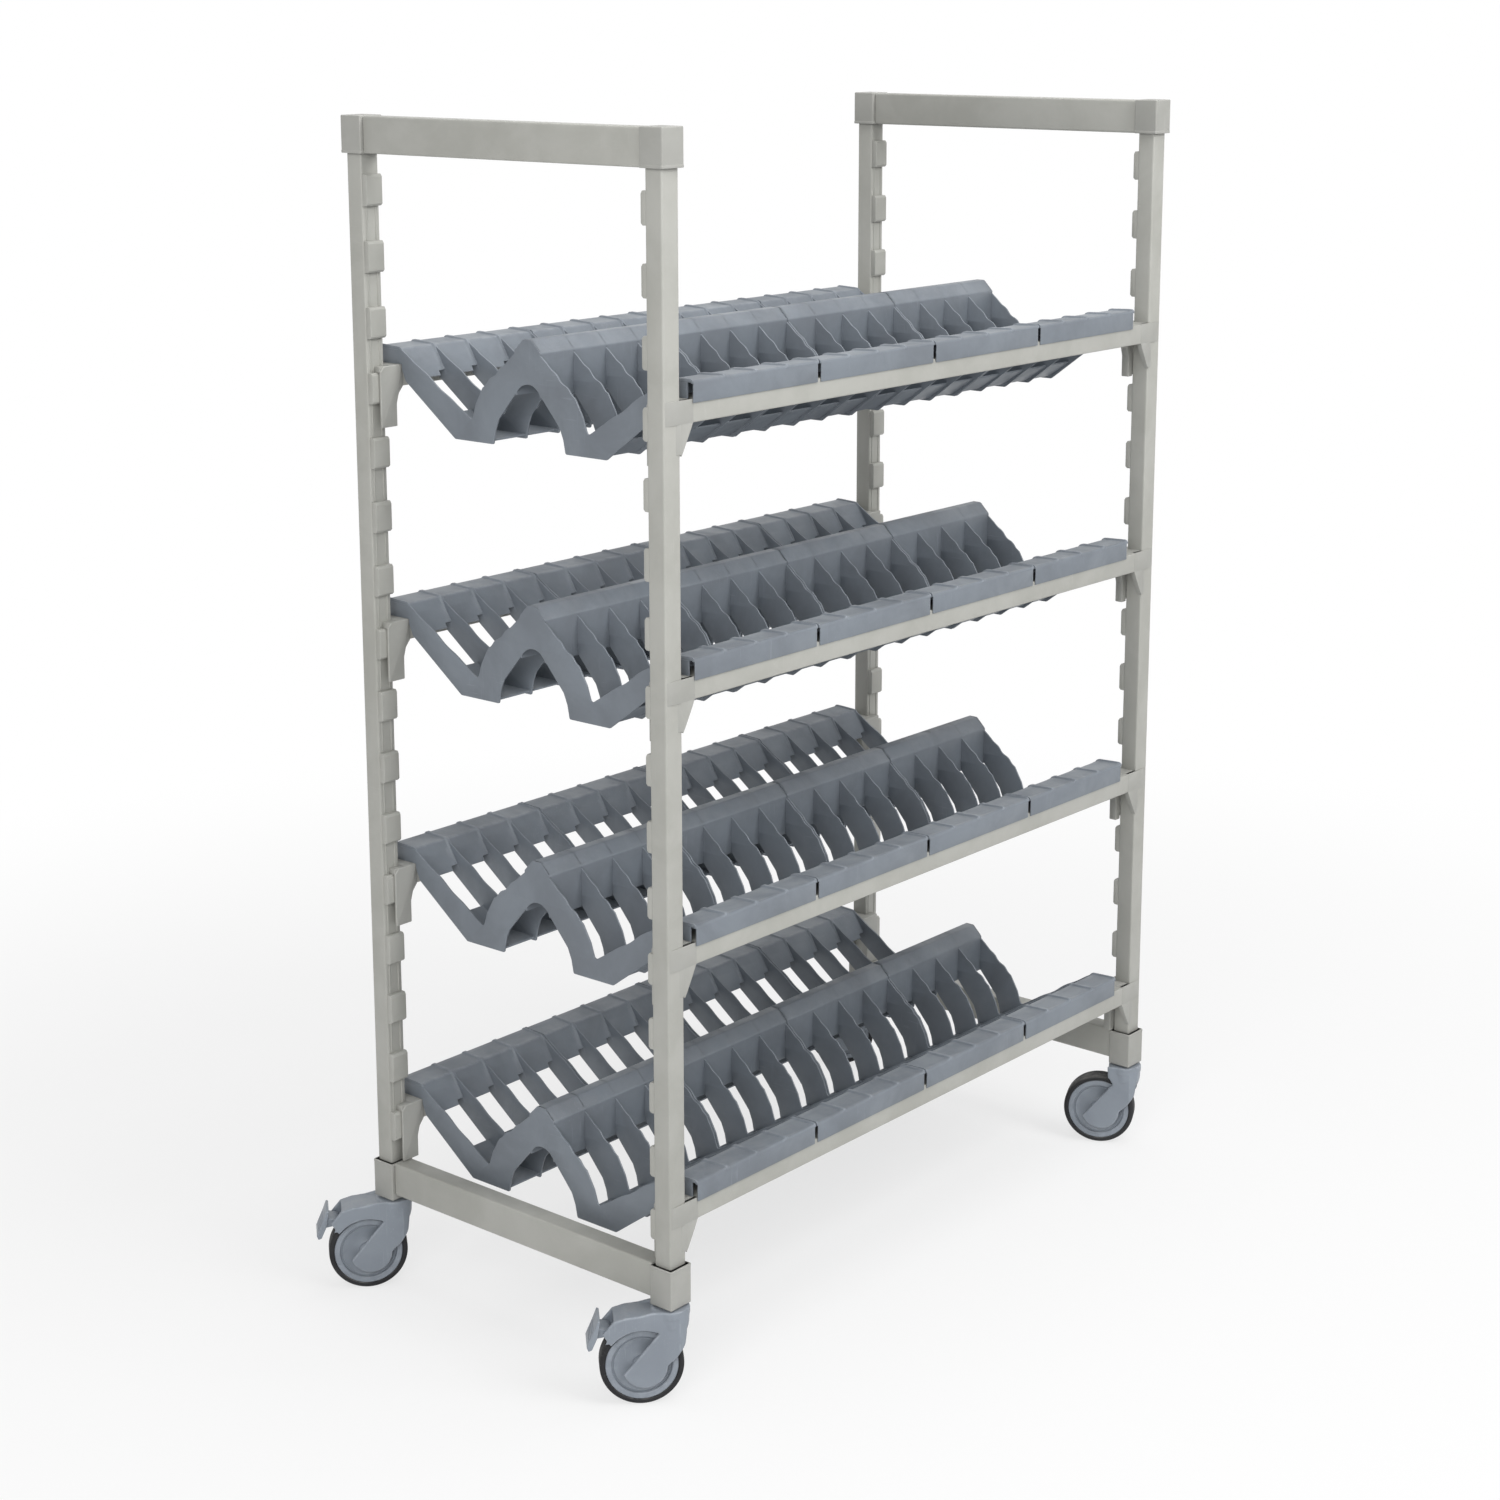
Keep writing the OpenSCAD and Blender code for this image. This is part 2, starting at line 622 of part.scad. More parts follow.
// One brake pedal, with its pivot pins and the lobe that presses on the tyre
module pedal(side, face, angle) {
    arm = [[-2, -4], [-2, 5], [14, 9], [17, 8], [21, -6], [15, -7]];
    plate = [[10.5, 21], [14, 22.5], [19, 9], [30, -17], [27.5, -23], [22.5, -21], [15, -4]];
    color(caster_colour) at_caster(side, face, angle) translate([pedal_x, 0, pedal_z]) {
        rotate([90, 0, 0]) cylinder(h = pedal_arm_w, r = pedal_pin_d / 2 + 2, center = true);
        rotate([90, 0, 0]) cylinder(h = 2 * fork_out - 1, d = pedal_pin_d, center = true);
        translate([lobe_x * cos(82), 0, -lobe_x * sin(82)]) rotate([90, 0, 0])
            cylinder(h = pedal_arm_w - 8, r = lobe_r, center = true);
        across(pedal_arm_w) polygon(arm);
        across(pedal_w) polygon(plate);
    }
}

post(LEFT, FRONT);  // post_front_left
post(LEFT, BACK);  // post_back_left
post(RIGHT, FRONT);  // post_front_right
post(RIGHT, BACK);  // post_back_right
corner_caps();
corner_sleeves();
end_bar(LEFT, top_bar_z);  // top_bar_left
end_bar(RIGHT, top_bar_z);  // top_bar_right
end_bar(LEFT, bottom_bar_z);  // bottom_bar_left
end_bar(RIGHT, bottom_bar_z);  // bottom_bar_right
traverse(FRONT, 1);  // traverse_front_1
traverse(FRONT, 2);  // traverse_front_2
traverse(FRONT, 3);  // traverse_front_3
traverse(FRONT, 4);  // traverse_front_4
traverse(BACK, 1);  // traverse_back_1
traverse(BACK, 2);  // traverse_back_2
traverse(BACK, 3);  // traverse_back_3
traverse(BACK, 4);  // traverse_back_4
connectors(1);  // connectors_1
connectors(2);  // connectors_2
connectors(3);  // connectors_3
connectors(4);  // connectors_4
cradle(1, 0);  // cradle_1a
cradle(1, 1);  // cradle_1b
cradle(1, 2);  // cradle_1c
cradle(1, 3);  // cradle_1d
cradle(2, 0);  // cradle_2a
cradle(2, 1);  // cradle_2b
cradle(2, 2);  // cradle_2c
cradle(2, 3);  // cradle_2d
cradle(3, 0);  // cradle_3a
cradle(3, 1);  // cradle_3b
cradle(3, 2);  // cradle_3c
cradle(3, 3);  // cradle_3d
cradle(4, 0);  // cradle_4a
cradle(4, 1);  // cradle_4b
cradle(4, 2);  // cradle_4c
cradle(4, 3);  // cradle_4d
stem_sockets();
swivel_stems();
swivel_washers();
fork(LEFT, FRONT, swivel_fl, true);  // fork_front_left
fork(LEFT, BACK, swivel_bl, true);  // fork_back_left
fork(RIGHT, FRONT, swivel_fr, false);  // fork_front_right
fork(RIGHT, BACK, swivel_br, false);  // fork_back_right
axle(LEFT, FRONT, swivel_fl);  // axle_front_left
axle(LEFT, BACK, swivel_bl);  // axle_back_left
axle(RIGHT, FRONT, swivel_fr);  // axle_front_right
axle(RIGHT, BACK, swivel_br);  // axle_back_right
wheel(LEFT, FRONT, swivel_fl);  // wheel_front_left
wheel(LEFT, BACK, swivel_bl);  // wheel_back_left
wheel(RIGHT, FRONT, swivel_fr);  // wheel_front_right
wheel(RIGHT, BACK, swivel_br);  // wheel_back_right
tyre(LEFT, FRONT, swivel_fl);  // tyre_front_left
tyre(LEFT, BACK, swivel_bl);  // tyre_back_left
tyre(RIGHT, FRONT, swivel_fr);  // tyre_front_right
tyre(RIGHT, BACK, swivel_br);  // tyre_back_right
pedal(LEFT, FRONT, swivel_fl);  // pedal_front_left
pedal(LEFT, BACK, swivel_bl);  // pedal_back_left
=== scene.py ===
"""Visual model of a mobile drying rack on casters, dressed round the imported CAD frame.

All sizes in the classes are millimetres; meshes are written in metres. Every sub-assembly is a class
whose fields hold its sizes and whose methods build its meshes and give them their materials.
"""

import json
import logging
import math
from dataclasses import dataclass
from enum import Enum
from typing import Callable, Iterable, Sequence

import bpy
import numpy as np
from mathutils import Matrix, Vector


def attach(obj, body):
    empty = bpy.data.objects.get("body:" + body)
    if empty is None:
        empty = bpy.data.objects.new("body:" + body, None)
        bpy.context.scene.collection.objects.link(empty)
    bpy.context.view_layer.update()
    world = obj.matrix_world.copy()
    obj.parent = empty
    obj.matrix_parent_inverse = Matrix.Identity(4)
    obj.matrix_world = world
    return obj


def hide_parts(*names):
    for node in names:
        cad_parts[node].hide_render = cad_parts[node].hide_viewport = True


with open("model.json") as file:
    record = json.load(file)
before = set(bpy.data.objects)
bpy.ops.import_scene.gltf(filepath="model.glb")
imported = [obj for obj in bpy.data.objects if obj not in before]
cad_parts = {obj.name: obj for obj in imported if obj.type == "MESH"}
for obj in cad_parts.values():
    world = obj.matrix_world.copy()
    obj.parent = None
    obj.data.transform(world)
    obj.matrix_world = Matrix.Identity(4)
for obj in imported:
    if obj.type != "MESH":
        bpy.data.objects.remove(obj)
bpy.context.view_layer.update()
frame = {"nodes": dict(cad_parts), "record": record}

log = logging.getLogger("drying_rack")
logging.basicConfig(level=logging.INFO, format="%(message)s")

MM = 0.001
TIERS = (1, 2, 3, 4)
LETTERS = "abcd"
# Radius of a corner that stays sharp
SHARP = 0.1


class Side(Enum):
    """The rack's left or right end, as the sign of X."""

    LEFT = -1
    RIGHT = 1


class Face(Enum):
    """The rack's front or back, as the sign of Y."""

    FRONT = -1
    BACK = 1


class Axis(Enum):
    """The axis along which an outline is carried."""

    X = 0
    Y = 1
    Z = 2


CORNERS = tuple((side, face) for side in Side for face in Face)


# Outlines


def arc(cx: float, cy: float, r: float, start: float, end: float, steps: int) -> np.ndarray:
    """Points of an arc: centre plus r times (cos a, sin a), with a in equal steps.

    Args:
        cx: Centre's first coordinate.
        cy: Centre's second coordinate.
        r: Radius.
        start: First angle in degrees.
        end: Last angle in degrees.
        steps: Number of steps.

    Returns:
        An array of steps + 1 points.
    """
    a = np.radians(np.linspace(start, end, steps + 1))
    return np.stack([cx + r * np.cos(a), cy + r * np.sin(a)], axis=1)


def tidy(points: np.ndarray, least: float = 0.02) -> np.ndarray:
    """Drops points that lie closer than least to the one before them on a closed outline."""
    gap = np.linalg.norm(points - np.roll(points, 1, axis=0), axis=1)
    return points[gap > least]


def fillet(points: Sequence, radius: float | Sequence[float], steps: int = 3) -> np.ndarray:
    """Rounds the corners of a closed outline.

    Each corner c becomes a quadratic curve from a to b, the points at distance t on its two edges, where
    t is the radius over the tangent of half the corner's angle, at most 0.48 of the shorter edge.

    Args:
        points: The outline's corners.
        radius: One radius, or one for each corner.
        steps: Steps of each curve.

    Returns:
        The rounded outline.
    """
    c = np.asarray(points, dtype=float)
    back, ahead = np.roll(c, 1, axis=0) - c, np.roll(c, -1, axis=0) - c
    lb, la = np.linalg.norm(back, axis=1), np.linalg.norm(ahead, axis=1)
    ub, ua = back / lb[:, None], ahead / la[:, None]
    half = 0.5 * np.arccos(np.clip((ub * ua).sum(axis=1), -1.0, 1.0))
    reach = np.broadcast_to(np.asarray(radius, dtype=float), half.shape) / np.maximum(np.tan(half), 1e-6)
    reach = np.minimum(reach, 0.48 * np.minimum(lb, la))[:, None]
    a, b = c + ub * reach, c + ua * reach
    t = np.linspace(0.0, 1.0, steps + 1)[None, :, None]
    curve = (1 - t) ** 2 * a[:, None] + 2 * t * (1 - t) * c[:, None] + t**2 * b[:, None]
    return tidy(curve.reshape(-1, 2))


def inset(points: np.ndarray, depth: float) -> np.ndarray:
    """Moves a closed outline inwards by depth along the mitre of each corner.

    Where the move would turn an edge round, its two ends go to the mean of the run of such points.

    Args:
        points: The outline.
        depth: How far each edge moves.

    Returns:
        The moved outline, with as many points.
    """
    edge = np.roll(points, -1, axis=0) - points
    ahead = edge / np.maximum(np.linalg.norm(edge, axis=1), 1e-9)[:, None]
    n2 = np.stack([-ahead[:, 1], ahead[:, 0]], axis=1)
    n1 = np.roll(n2, 1, axis=0)
    mitre = (n1 + n2) / np.maximum(1.0 + (n1 * n2).sum(axis=1), 0.35)[:, None]
    x, y = points[:, 0], points[:, 1]
    area = (x * np.roll(y, -1) - np.roll(x, -1) * y).sum()
    moved = points + mitre * depth * (1.0 if area > 0 else -1.0)
    turned = (edge * (np.roll(moved, -1, axis=0) - moved)).sum(axis=1) <= 0
    run = np.concatenate([[0], np.cumsum(~turned[:-1])])
    if turned[-1]:
        run[run == run[-1]] = 0
    size = np.bincount(run)
    mean = np.stack([np.bincount(run, moved[:, i]) / np.maximum(size, 1) for i in (0, 1)], axis=1)
    return mean[run]


def both_sides(half: np.ndarray) -> np.ndarray:
    """A whole outline from its half on the back side, mirrored about the rack's middle."""
    half = np.asarray(half, dtype=float)
    return np.concatenate([half, half[::-1] * [-1.0, 1.0]])


def wavy(p: Sequence[float], q: Sequence[float], height: float, crests: float, steps: int,
         late: float = 0.0) -> np.ndarray:
    """Points from p to q that leave the line by height * sin(2 pi crests t) * sin(pi t) * t ** late.

    Args:
        p: First point.
        q: Last point.
        height: Height of the waves.
        crests: Number of waves.
        steps: Number of steps.
        late: How much the waves gather towards the last point.

    Returns:
        An array of steps + 1 points.
    """
    a, b = np.asarray(p, dtype=float), np.asarray(q, dtype=float)
    d = b - a
    n = np.array([-d[1], d[0]]) / np.linalg.norm(d)
    t = np.linspace(0.0, 1.0, steps + 1)[:, None]
    return a + d * t + n * height * np.sin(2 * np.pi * crests * t) * np.sin(np.pi * t) * t**late


# Meshes


class Shell:
    """Collects the closed surfaces of one piece as vertices, faces and an edge-wear value per vertex."""

    def __init__(self) -> None:
        """Starts an empty shell."""
        self.points: list[np.ndarray] = []
        self.quads: list[np.ndarray] = []
        self.caps: list[np.ndarray] = []
        self.wear: list[np.ndarray] = []
        self.count = 0

    def loft(self, rings: np.ndarray, wear: np.ndarray | None = None, capped: bool = True,
             joined: bool = False) -> "Shell":
        """Adds the surface through a stack of closed rings.

        Args:
            rings: Array of m rings by n points by 3, in millimetres.
            wear: Edge-wear value of each ring or of each point; none for 0.
            capped: Whether the first and last ring are closed by flat faces.
            joined: Whether the last ring joins the first, as on a torus.

        Returns:
            This shell.
        """
        m, n = rings.shape[:2]
        i = np.arange(m if joined else m - 1)[:, None]
        j = np.arange(n)[None, :]
        a, b = i * n + j, i * n + (j + 1) % n
        c, d = ((i + 1) % m) * n + (j + 1) % n, ((i + 1) % m) * n + j
        quads = np.stack([a, b, c, d], axis=-1).reshape(-1, 4)
        caps = [np.arange(n)[::-1], (m - 1) * n + np.arange(n)] if capped and not joined else []
        flat = rings.reshape(-1, 3)
        p = flat[quads]
        volume = np.einsum("ij,ij->i", p[:, 0], np.cross(p[:, 1], p[:, 2]) + np.cross(p[:, 2], p[:, 3])).sum()
        for cap in caps:
            q = flat[cap]
            volume += np.einsum("j,ij->i", q[0], np.cross(q[1:-1], q[2:])).sum()
        if volume < 0:
            quads, caps = quads[:, ::-1], [cap[::-1] for cap in caps]
        edge = np.zeros((m, n)) if wear is None else np.broadcast_to(
            wear[:, None] if np.ndim(wear) == 1 else wear, (m, n))
        self.points.append(flat)
        self.quads.append(quads + self.count)
        self.caps += [cap + self.count for cap in caps]
        self.wear.append(edge.reshape(-1))
        self.count += m * n
        return self

    def prism(self, outline: np.ndarray, start: float, end: float, axis: Axis, bevel: float = 0.6,
              steps: int = 2, place: Callable[[np.ndarray], np.ndarray] | None = None) -> "Shell":
        """Adds an outline carried along an axis, with rounded ends.

        At each end the ring is drawn in by bevel * (1 - sin a) while it moves by bevel * (1 - cos a),
        for a from 0 to 90 degrees. The wear value is sin 2a.

        Args:
            outline: Closed outline in the two other axes, in the order X, Y, Z.
            start: Where the piece starts on the axis.
            end: Where it ends.
            axis: The axis along which it runs.
            bevel: Radius of the rounded ends.
            steps: Steps of the rounding.
            place: Moves the finished points, or none.

        Returns:
            This shell.
        """
        a = np.linspace(0.0, np.pi / 2, steps + 1)
        depth = bevel * (1 - np.sin(a))
        shift = bevel * (1 - np.cos(a))
        flat = np.stack([inset(outline, d) for d in np.concatenate([depth, depth[::-1]])])
        along = np.concatenate([start + shift, (end - shift)[::-1]])
        rings = np.insert(flat, axis.value, np.broadcast_to(along[:, None], flat.shape[:2]), axis=2)
        if place is not None:
            rings = place(rings)
        return self.loft(rings, np.concatenate([np.sin(2 * a), np.sin(2 * a)[::-1]]))

    def lathe(self, profile: np.ndarray, steps: int, place: Callable[[np.ndarray], np.ndarray],
              wear: np.ndarray | None = None) -> "Shell":
        """Adds a closed profile of radius and height turned about Z, before it is put in place.

        Args:
            profile: Closed profile of (radius, height) points that stays off the axis.
            steps: Number of copies round the axis.
            place: Moves the finished points.
            wear: Edge-wear value of each profile point, or none.

        Returns:
            This shell.
        """
        a = np.linspace(0.0, 2 * np.pi, steps, endpoint=False)[:, None]
        r, h = profile[None, :, 0], profile[None, :, 1]
        heights = np.broadcast_to(h, (steps, profile.shape[0]))
        rings = np.stack([r * np.cos(a), r * np.sin(a), heights], axis=-1)
        spread = None if wear is None else np.broadcast_to(wear, rings.shape[:2])
        return self.loft(place(rings), spread, capped=False, joined=True)

    def moved(self, place: Callable[[np.ndarray], np.ndarray]) -> "Shell":
        """A copy with every point put through place; faces turn round if place mirrors the shape.

        Args:
            place: Moves an array of points.

        Returns:
            The copy.
        """
        probe = place(np.array([[0.0, 0, 0], [1.0, 0, 0], [0, 1.0, 0], [0, 0, 1.0]]))
        flipped = np.linalg.det(probe[1:] - probe[0]) < 0
        copy = Shell()
        copy.points = [place(p) for p in self.points]
        copy.quads = [q[:, ::-1] if flipped else q for q in self.quads]
        copy.caps = [c[::-1] if flipped else c for c in self.caps]
        copy.wear, copy.count = list(self.wear), self.count
        return copy

    def add(self, other: "Shell") -> "Shell":
        """Adds another shell's surfaces to this one.

        Args:
            other: The other shell.

        Returns:
            This shell.
        """
        self.points += other.points
        self.quads += [q + self.count for q in other.quads]
        self.caps += [c + self.count for c in other.caps]
        self.wear += other.wear
        self.count += other.count
        return self

    def mesh(self, name: str, sharp: float = 35.0) -> bpy.types.Mesh:
        """Writes the shell into a mesh in metres, smooth apart from edges over an angle.

        Args:
            name: The mesh's name.
            sharp: Angle in degrees above which an edge stays sharp.

        Returns:
            The mesh, with its wear values in the attribute "wear".
        """
        quads = np.concatenate(self.quads) if self.quads else np.zeros((0, 4), dtype=int)
        loops = np.concatenate([quads.reshape(-1)] + self.caps).astype(np.int32)
        sizes = np.concatenate([np.full(len(quads), 4), [len(c) for c in self.caps]]).astype(np.int32)
        starts = np.concatenate([[0], np.cumsum(sizes)[:-1]]).astype(np.int32)
        points = np.concatenate(self.points) * MM
        mesh = bpy.data.meshes.new(name)
        mesh.vertices.add(len(points))
        mesh.vertices.foreach_set("co", points.astype(np.float32).reshape(-1))
        mesh.loops.add(len(loops))
        mesh.loops.foreach_set("vertex_index", loops)
        mesh.polygons.add(len(sizes))
        mesh.polygons.foreach_set("loop_start", starts)
        mesh.update(calc_edges=True)
        mesh.validate()
        layer = mesh.attributes.new("wear", "FLOAT", "POINT")
        layer.data.foreach_set("value", np.concatenate(self.wear).astype(np.float32))
        mesh.shade_smooth()
        mesh.set_sharp_from_angle(angle=math.radians(sharp))
        return mesh


def publish(name: str, mesh: bpy.types.Mesh, material: bpy.types.Material, body: str,
            stands_for: Iterable[str] = ()) -> bpy.types.Object:
    """Makes a finished piece from a mesh: it rides on its body and stands for its CAD nodes.

    Args:
        name: The piece's name.
        mesh: Its mesh, already in place.
        material: Its material.
        body: The CAD body that it moves with.
        stands_for: CAD nodes that it replaces.

    Returns:
        The piece.
    """
    piece = bpy.data.objects.new(name, mesh)
    bpy.context.scene.collection.objects.link(piece)
    mesh.materials.clear()
    mesh.materials.append(material)
    nodes = list(stands_for)
    if nodes:
        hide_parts(*nodes)
    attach(piece, body)
    log.info("piece %s: %d faces on %s", name, len(mesh.polygons), body)
    return piece


# Finishes


class Graph:
    """Small helper that adds and joins nodes in one node tree."""

    def __init__(self, tree: bpy.types.NodeTree) -> None:
        """Keeps the tree that the nodes go into."""
        self.tree = tree

    def add(self, kind: str, inputs: dict | None = None, **settings: object) -> bpy.types.Node:
        """Adds a node, sets its properties, and sets or joins its inputs.

        Args:
            kind: The node's type name.
            inputs: Socket name or index to a value, or to an output socket that feeds it.
            settings: The node's own properties.

        Returns:
            The node.
        """
        node = self.tree.nodes.new(kind)
        for key, value in settings.items():
            setattr(node, key, value)
        for key, value in (inputs or {}).items():
            if isinstance(value, bpy.types.NodeSocket):
                self.tree.links.new(value, node.inputs[key])
            else:
                node.inputs[key].default_value = value
        return node

    def math(self, operation: str, a: object, b: object = 0.0, clamp: bool = False) -> bpy.types.NodeSocket:
        """The result of a Math node on two values or sockets."""
        return self.add("ShaderNodeMath", {0: a, 1: b}, operation=operation, use_clamp=clamp).outputs[0]

    def span(self, value: bpy.types.NodeSocket, low: float, high: float, to_low: float = 0.0,
             to_high: float = 1.0) -> bpy.types.NodeSocket:
        """A value mapped smoothly from one range to another.

        Args:
            value: The socket to map.
            low: Start of its range.
            high: End of its range.
            to_low: Result at the start.
            to_high: Result at the end.

        Returns:
            The result's socket.
        """
        node = self.add("ShaderNodeMapRange", {"Value": value, "From Min": low, "From Max": high,
                                               "To Min": to_low, "To Max": to_high})
        node.interpolation_type = "SMOOTHSTEP"
        return node.outputs["Result"]

    def blend(self, factor: object, a: object, b: object) -> bpy.types.NodeSocket:
        """A colour mixed from two colours or sockets.

        Args:
            factor: The share of b.
            a: First colour.
            b: Second colour.

        Returns:
            The mixed colour's socket.
        """
        node = self.add("ShaderNodeMix", data_type="RGBA", blend_type="MIX")
        for index, value in ((0, factor), (6, a), (7, b)):
            if isinstance(value, bpy.types.NodeSocket):
                self.tree.links.new(value, node.inputs[index])
            else:
                node.inputs[index].default_value = value
        return node.outputs[2]


def new_group(name: str, inputs: dict[str, float],
              outputs: Sequence[str]) -> tuple[bpy.types.NodeTree, Graph, bpy.types.Node]:
    """Starts a shader node group with float inputs and outputs.

    Args:
        name: The group's name.
        inputs: Each input's name and default value.
        outputs: Each output's name.

    Returns:
        The group, a graph for it and its input node.
    """
    tree = bpy.data.node_groups.new(name, "ShaderNodeTree")
    for key, value in inputs.items():
        tree.interface.new_socket(key, in_out="INPUT", socket_type="NodeSocketFloat").default_value = value
    for key in outputs:
        tree.interface.new_socket(key, in_out="OUTPUT", socket_type="NodeSocketFloat")
    graph = Graph(tree)
    return tree, graph, graph.add("NodeGroupInput")


def grain_group() -> bpy.types.NodeTree:
    """Moulded grain: a fine pebble height and a slow mottle of the colour.

    Returns:
        The group: height is 0.65 * noise + 0.35 * cell distance, mottle a smooth step of a slower noise.
    """
    tree, g, given = new_group("moulded_grain", {"Pebble": 900.0, "Cloud": 9.0}, ("Height", "Mottle"))
    place = g.add("ShaderNodeTexCoord").outputs["Object"]
    fine = g.add("ShaderNodeTexNoise", {"Vector": place, "Scale": given.outputs["Pebble"], "Detail": 3.0,
                                        "Roughness": 0.6})
    cells = g.add("ShaderNodeTexVoronoi", {"Vector": place,
                                           "Scale": g.math("MULTIPLY", given.outputs["Pebble"], 0.7)})
    cloud = g.add("ShaderNodeTexNoise", {"Vector": place, "Scale": given.outputs["Cloud"], "Detail": 5.0,
                                         "Roughness": 0.62, "Distortion": 0.4})
    height = g.math("ADD", g.math("MULTIPLY", fine.outputs["Fac"], 0.65),
                    g.math("MULTIPLY", cells.outputs["Distance"], 0.35))
    g.add("NodeGroupOutput", {"Height": height, "Mottle": g.span(cloud.outputs["Fac"], 0.3, 0.7)})
    return tree


def wear_group() -> bpy.types.NodeTree:
    """Edge wear: the mesh's own edge values, broken up by noise.

    Returns:
        The group, whose mask is edge value * noise * amount.
    """
    tree, g, given = new_group("edge_wear", {"Amount": 0.5}, ("Mask",))
    place = g.add("ShaderNodeTexCoord").outputs["Object"]
    edge = g.add("ShaderNodeAttribute", attribute_name="wear").outputs["Fac"]
    patch = g.add("ShaderNodeTexNoise", {"Vector": place, "Scale": 55.0, "Detail": 4.0, "Roughness": 0.7})
    broken = g.span(patch.outputs["Fac"], 0.35, 0.68)
    mask = g.math("MULTIPLY", g.math("MULTIPLY", edge, broken), given.outputs["Amount"], clamp=True)
    g.add("NodeGroupOutput", {"Mask": mask})
    return tree


def scuff_group() -> bpy.types.NodeTree:
    """Scuffs: two sets of thin lines from stretched noise, kept in patches.

    Returns:
        The group, whose mask is the stronger line * patch * amount.
    """
    tree, g, given = new_group("scuffs", {"Amount": 0.3}, ("Mask",))
    place = g.add("ShaderNodeTexCoord").outputs["Object"]
    total: bpy.types.NodeSocket | None = None
    for turn, stretch in (((0.3, 0.5, 0.2), (900.0, 22.0, 300.0)), ((0.9, 0.1, 1.1), (260.0, 900.0, 18.0))):
        mapped = g.add("ShaderNodeMapping", {"Vector": place, "Rotation": turn, "Scale": stretch})
        line = g.add("ShaderNodeTexNoise", {"Vector": mapped.outputs[0], "Scale": 1.0, "Detail": 1.0})
        thin = g.span(line.outputs["Fac"], 0.66, 0.74)
        total = thin if total is None else g.math("MAXIMUM", total, thin)
    patch = g.add("ShaderNodeTexNoise", {"Vector": place, "Scale": 7.0, "Detail": 2.0})
    kept = g.span(patch.outputs["Fac"], 0.5, 0.68)
    mask = g.math("MULTIPLY", g.math("MULTIPLY", total, kept), given.outputs["Amount"], clamp=True)
    g.add("NodeGroupOutput", {"Mask": mask})
    return tree


def dust_group() -> bpy.types.NodeTree:
    """Dust: gathers on faces that look up, in a cloudy film.

    Returns:
        The group, whose mask is how far the face looks up * film * amount.
    """
    tree, g, given = new_group("settled_dust", {"Amount": 0.2}, ("Mask",))
    place = g.add("ShaderNodeTexCoord").outputs["Object"]
    normal = g.add("ShaderNodeSeparateXYZ", {0: g.add("ShaderNodeNewGeometry").outputs["Normal"]})
    film = g.add("ShaderNodeTexNoise", {"Vector": place, "Scale": 30.0, "Detail": 6.0, "Roughness": 0.7})
    up = g.span(normal.outputs["Z"], 0.2, 0.95)
    cloudy = g.span(film.outputs["Fac"], 0.35, 0.7)
    mask = g.math("MULTIPLY", g.math("MULTIPLY", up, cloudy), given.outputs["Amount"], clamp=True)
    g.add("NodeGroupOutput", {"Mask": mask})
    return tree


Color = tuple[float, float, float]
DUST: Color = (0.62, 0.60, 0.57)


@dataclass(frozen=True)
class Finish:
    """One finish: its colours, gloss from smooth to rough, grain, wear and dust.

    The grain's scales are per metre; grain_depth is its depth in metres at full relief.
    """

    name: str
    color: Color
    shade: Color
    worn: Color
    rough: tuple[float, float] = (0.42, 0.58)
    pebble: float = 900.0
    cloud: float = 9.0
    relief: float = 0.12
    grain_depth: float = 0.0004
    wear: float = 0.5
    scuff: float = 0.3
    dust: float = 0.12
    dust_rough: float = 0.3
    metallic: float = 0.0
    specular: float = 0.4

    def build(self, groups: dict[str, bpy.types.NodeTree]) -> bpy.types.Material:
        """Builds the finish's material from the shared groups.

        Args:
            groups: The shared node groups by name.

        Returns:
            The material.
        """
        material = bpy.data.materials.new(self.name)
        material.use_nodes = True
        material.node_tree.nodes.clear()
        g = Graph(material.node_tree)
        grain = g.add("ShaderNodeGroup", node_tree=groups["grain"])
        grain.inputs["Pebble"].default_value, grain.inputs["Cloud"].default_value = self.pebble, self.cloud
        masks = {}
        for key, amount in (("wear", self.wear), ("scuff", self.scuff), ("dust", self.dust)):
            node = g.add("ShaderNodeGroup", node_tree=groups[key])
            node.inputs["Amount"].default_value = amount
            masks[key] = node.outputs["Mask"]
        color = g.blend(grain.outputs["Mottle"], (*self.shade, 1.0), (*self.color, 1.0))
        color = g.blend(masks["scuff"], color, (*self.worn, 1.0))
        color = g.blend(masks["wear"], color, (*self.worn, 1.0))
        color = g.blend(masks["dust"], color, (*DUST, 1.0))
        rough = g.span(grain.outputs["Mottle"], 0.0, 1.0, self.rough[1], self.rough[0])
        rough = g.math("ADD", rough, g.math("MULTIPLY", masks["dust"], self.dust_rough), clamp=True)
        bump = g.add("ShaderNodeBump", {"Strength": self.relief, "Distance": self.grain_depth,
                                        "Height": grain.outputs["Height"]})
        shader = g.add("ShaderNodeBsdfPrincipled", {
            "Base Color": color, "Roughness": rough, "Normal": bump.outputs["Normal"],
            "Metallic": self.metallic, "Specular IOR Level": self.specular})
        g.add("ShaderNodeOutputMaterial", {"Surface": shader.outputs["BSDF"]})
        return material


